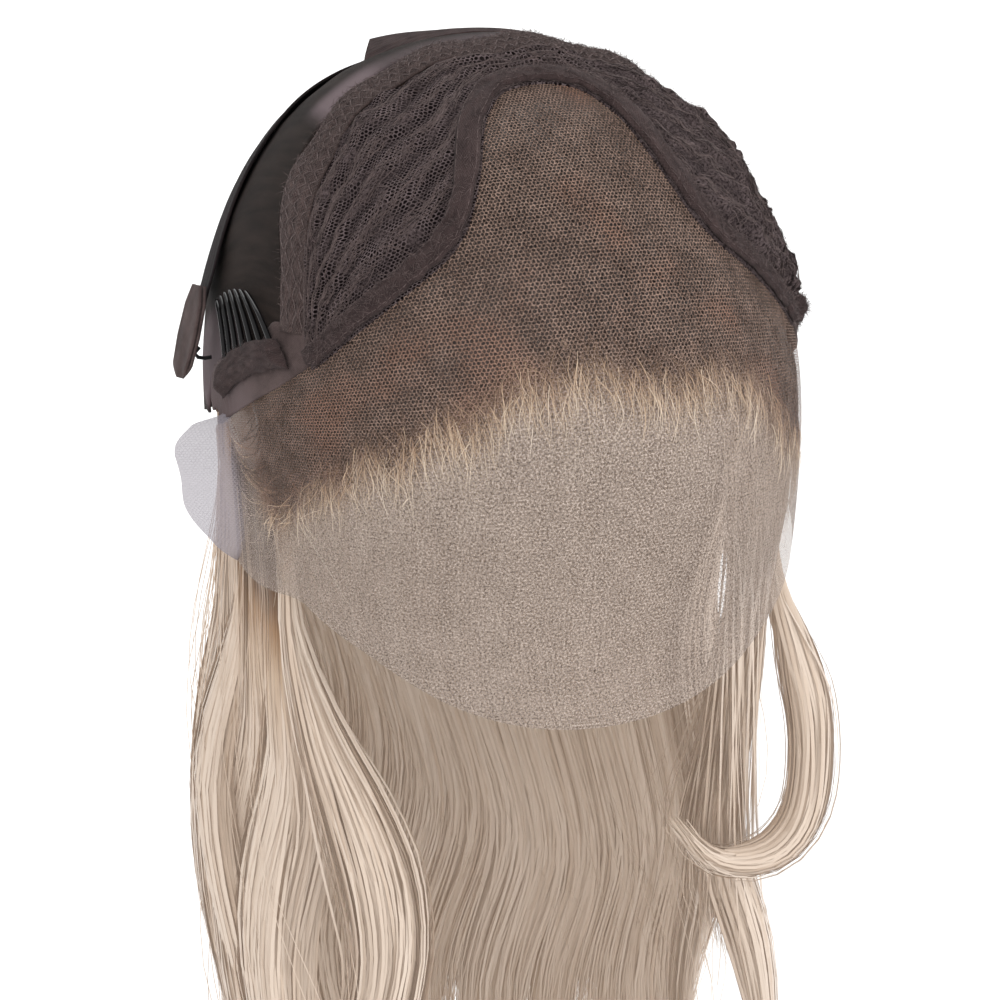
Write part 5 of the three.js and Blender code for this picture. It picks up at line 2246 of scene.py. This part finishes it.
        facing = facing + rng.normal(0.0, 0.2, (count, 1, 3))
        strands.add(point, width, facing, tone, self.growth(point, -20.0))

    def temple(self, strands: Strands, lock: LockRoute, hand: Hand, rng: Rng) -> None:
        """Adds hair that falls from the lace at a temple and joins a lock.

        Args:
            strands: Where it is gathered.
            lock: The lock that it joins.
            hand: Side of the temple.
            rng: Source of its variety.
        """
        count, fine = self.temple_strands, 199
        route, _ = lock.course(fine + 1)
        t = np.linspace(0.0, 1.0, self.steps)[None, :]
        side = rng.uniform(22.0, 73.0, (count, 1))
        sweep = Cut.HAIRLINE.at(side) + rng.uniform(-4.0, 9.0, (count, 1)) - 62.0 * t
        swing = side + mix(20.0, 4.0, smooth(side, 30.0, 60.0)) * t**2 + rng.normal(0.0, 2.0, (count, 1)) * t
        laid, normal = self.form.spot(hand.value * swing, sweep, -3.0 - 2.5 * rng.random((count, 1)))
        share = rng.uniform(0.3, 0.5, (count, 1)) + 0.3 * t
        scatter = rng.normal(0.0, 1.0, (count, 1, 3)) * np.array([5.5, 3.0, 3.0])
        hung = route[(share * fine).astype(int)] + scatter - np.array([4.0, 0.0, 0.0])
        path = mix(laid, hung, smooth(t, 0.35, 0.9)[..., None])
        width = rng.uniform(0.4, 1.0, (count, 1)) * (1.0 - 0.8 * smooth(t, 0.75, 1.0))
        tone = np.clip(rng.normal(0.5, 0.2, count), 0.0, 1.0)
        facing = normal + rng.normal(0.0, 0.25, (count, 1, 3))
        strands.add(path, width, facing, tone, self.growth(path, -4.0))

    def lining(self) -> None:
        """Makes the hair that lies against the cap's inner face, from the crown down to the curtain, in a low
        tone that paints the shade inside the cap.
        """
        rng = np.random.default_rng(101)
        strands = Strands()
        count = self.lining_strands
        t = np.linspace(0.0, 1.0, self.lining_steps)[None, :]
        turn = rng.uniform(74.0, 256.0, (count, 1))
        spread = rng.normal(0.0, 5.0, (count, 1)) * np.linspace(1.0, 0.0, self.lining_steps)[None, :]
        bearing = np.radians(-turn + spread)
        top = np.radians(rng.uniform(58.0, 86.0, (count, 1)))
        low = np.radians(rng.uniform(-40.0, -12.0, (count, 1)))
        front = smooth(np.abs(turn - 180.0), 70.0, 125.0)
        top = mix(top, np.radians(40.0), front * 0.5)
        rise = mix(top, low, t)
        level = np.cos(rise)
        way = np.stack([np.sin(bearing) * level, -np.cos(bearing) * level, np.sin(rise)], -1)
        path, normal = self.form.lifted(way, -5.3 - 1.6 * rng.random((count, 1)) + 0.0 * rise)
        width = rng.uniform(1.0, 2.0, (count, 1))
        # painted shade: a low tone darkens the lining inside the cap
        tone = np.clip(rng.normal(0.3, 0.2, count), 0.0, 1.0)
        length = t * 90.0 + rng.uniform(-20.0, 10.0, (count, 1))
        facing = normal + rng.normal(0.0, 0.3, (count, 1, 3))
        strands.add(path, width, facing, tone, np.clip(length, 0.0, OLDEST_HAIR))
        settle(strands.make("hair_lining"), self.finishes.hair, "hair")

    def bed_place(self, u: Array, v: Array) -> Pair:
        """Lays the layer behind the lining's strands.

        Args:
            u: Shares across.
            v: Shares along.

        Returns:
            Points and cloth coordinates.
        """
        side = (2.0 * u - 1.0) * 80.0
        sweep = mix(Cut.LACE_SEAM.across(side) + 6.5, Cut.NAPE_EDGE.across(side), v)
        where, _ = self.form.spot(side, sweep, -2.6 + 0.0 * side)
        return where, self.form.flat(side, sweep, 120.0)

    def lining_bed(self) -> None:
        """Makes the closed layer behind the lining's strands, dark as the roots of the wefts and lowered in
        tone as painted shade inside the cap.
        """
        piece = lay_grid("hair_lining_bed", *self.bed_squares, self.bed_place)
        flat = points_of(piece.data)
        write(piece.data, "fibre", np.stack([flat[:, 0] / MM, flat[:, 2] / MM, flat[:, 1] * 0], -1))
        # dark root colour for the wefts' roots, and a low tone as painted shade inside the cap
        write(piece.data, "tone", np.full(len(flat), 0.3))
        write(piece.data, "grown", np.full(len(flat), 5.0))
        thicken(piece, self.bed_wall)
        settle(piece, self.finishes.hair, "hair")

    def strays(self) -> None:
        """Makes the loose single hairs round the curtain and the locks."""
        rng = np.random.default_rng(131)
        strands = Strands()
        count = self.stray_strands
        v = np.linspace(0.08, 1.0, self.steps)[None, :]
        lock = rng.uniform(0.0, self.locks, (count, 1))
        turn = self.turn(lock)
        z = self.level(turn, v, self.tip(lock) + rng.uniform(-4.0, 60.0, (count, 1)))
        phase = rng.uniform(0.0, FULL_TURN, (count, 1))
        point, bearing, along, loose = self.fall(turn, z, self.inset, 0.0, phase)
        out, into = self.depth(lock + 0.0 * v, v, loose)
        reach = np.where(rng.random((count, 1)) < 0.55, out + 0.7, -into - 2.0)
        wander = np.sin(v * rng.uniform(3.0, 8.0, (count, 1)) + rng.uniform(0, FULL_TURN, (count, 1)))
        point = point + bearing * (reach + loose * rng.normal(0.0, 1.2, (count, 1)) * wander)[..., None]
        point = point + along * (loose * rng.normal(0.0, 7.0, (count, 1)) * wander)[..., None]
        tone = np.clip(rng.normal(0.7, 0.2, count), 0.0, 1.0)
        strands.add(point, 0.22, along + rng.normal(0.0, 0.3, (count, 1, 3)), tone, 55.0)
        settle(strands.make("stray_hairs"), self.finishes.hair, "hair")

    def build(self) -> None:
        """Makes all of the long hair."""
        self.core()
        self.lining_bed()
        self.lining()
        rng = np.random.default_rng(71)
        for name, start, end in (("left", 0, 5), ("back", 5, 10), ("right", 10, 14)):
            strands = Strands()
            for lock in range(start, end):
                self.curtain(strands, lock, self.outer_strands, True, rng)
                self.curtain(strands, lock, self.inner_strands, False, rng)
            settle(strands.make(f"hair_{name}"), self.finishes.hair, "hair")
        strands = Strands()
        for row in FREE_LOCKS:
            self.free(strands, row, rng)
        for lock in (CHEEK_LOCK, CURL_LOCK, TEMPLE_LOCK):
            self.routed(strands, lock, rng)
        self.temple(strands, CHEEK_LOCK, Hand.RIGHT, rng)
        settle(strands.make("free_locks"), self.finishes.hair, "hair")
        self.strays()


@dataclass
class Studio:
    """Pale floor, soft light and the camera."""

    floor_z: float = -0.432
    centre: tuple[float, float, float] = (0.0, 0.0, -0.098)
    azimuth: float = -18.0
    elevation: float = 30.0
    distance: float = 1.1
    drop: float = 0.0282
    lens: float = 140.2
    sky_strength: float = 0.8

    def light(self, name: str, place: tuple[float, float, float], size: float, power: float) -> None:
        """Adds one soft lamp that faces the wig.

        Args:
            name: Lamp's name.
            place: Where it stands.
            size: Width of its panel.
            power: Watts.
        """
        lamp = bpy.data.lights.new(name, "AREA")
        lamp.size = size
        lamp.energy = power
        thing = bpy.data.objects.new(name, lamp)
        thing.location = place
        thing.rotation_euler = (Vector((0.0, 0.0, -0.15)) - Vector(place)).to_track_quat("-Z", "Y").to_euler()
        bpy.context.scene.collection.objects.link(thing)

    def floor(self) -> None:
        """Makes the floor."""
        deselect()
        bpy.ops.mesh.primitive_plane_add(size=12.0, location=(0.0, 0.0, self.floor_z))
        floor = bpy.context.object
        floor.name = "studio_floor"
        bpy.ops.object.transform_apply(location=True, rotation=True, scale=True)
        floor.data.materials.append(FloorFinish().make())
        floor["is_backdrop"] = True

    def sky(self) -> None:
        """Makes the even white light from all round."""
        world = bpy.data.worlds.new("soft_sky")
        world.use_nodes = True
        light = world.node_tree.nodes["Background"].inputs
        light["Color"].default_value = WHITE
        light["Strength"].default_value = self.sky_strength
        bpy.context.scene.world = world
        bpy.context.scene.view_settings.view_transform = "Standard"

    def camera(self) -> None:
        """Sets the camera at the photograph's angle."""
        a, e = np.radians(self.azimuth), np.radians(self.elevation)
        back = Vector((np.sin(a) * np.cos(e), -np.cos(a) * np.cos(e), np.sin(e)))
        lens = bpy.data.cameras.new("photo_camera")
        lens.lens = self.lens
        lens.clip_start = 0.01
        camera = bpy.data.objects.new("photo_camera", lens)
        middle = Vector(self.centre)
        camera.location = middle + back * self.distance
        up = Vector((-np.sin(a) * np.sin(e), np.cos(a) * np.sin(e), np.cos(e)))
        aim = middle - up * self.drop - camera.location
        camera.rotation_euler = aim.to_track_quat("-Z", "Y").to_euler()
        bpy.context.scene.collection.objects.link(camera)
        bpy.context.scene.camera = camera

    def build(self) -> None:
        """Makes the floor, the lamps, the sky and the camera."""
        self.floor()
        self.light("key", (-0.9, -1.3, 1.1), 1.2, 18.0)
        self.light("fill", (1.2, -1.0, 0.6), 1.4, 16.0)
        self.light("back", (0.3, 1.4, 1.0), 1.4, 16.0)
        self.sky()
        self.camera()


def main() -> None:
    """Builds the studio and every sub-assembly in order."""
    logging.basicConfig(level=logging.INFO, format="%(name)s %(message)s")
    form = HeadForm()
    finishes = Finishes()
    Studio().build()
    roots = RootHair(form, finishes)
    FrontLace(form, finishes, roots).build()
    roots.build()
    panel = CrownPanel(form, finishes)
    panel.build()
    LaceBinding(form, finishes).build()
    CrownSeam(form, finishes, panel).build()
    BackPanel(form, finishes).build()
    for hand in Hand:
        EarTab(form, finishes, hand).build()
        SideComb(form, finishes, hand).build()
    BackStrap(form, finishes).build()
    CrownTape(form, finishes).build()
    LongHair(form, finishes).build()
    boxes = {"cad": [list(map(float, corner)) for corner in CAD_BOX],
             "visual": [list(map(float, corner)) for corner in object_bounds()]}
    LOG.info("box of the solids %s, of the dressed wig %s", boxes["cad"], boxes["visual"])


if __name__ == "__main__":
    main()
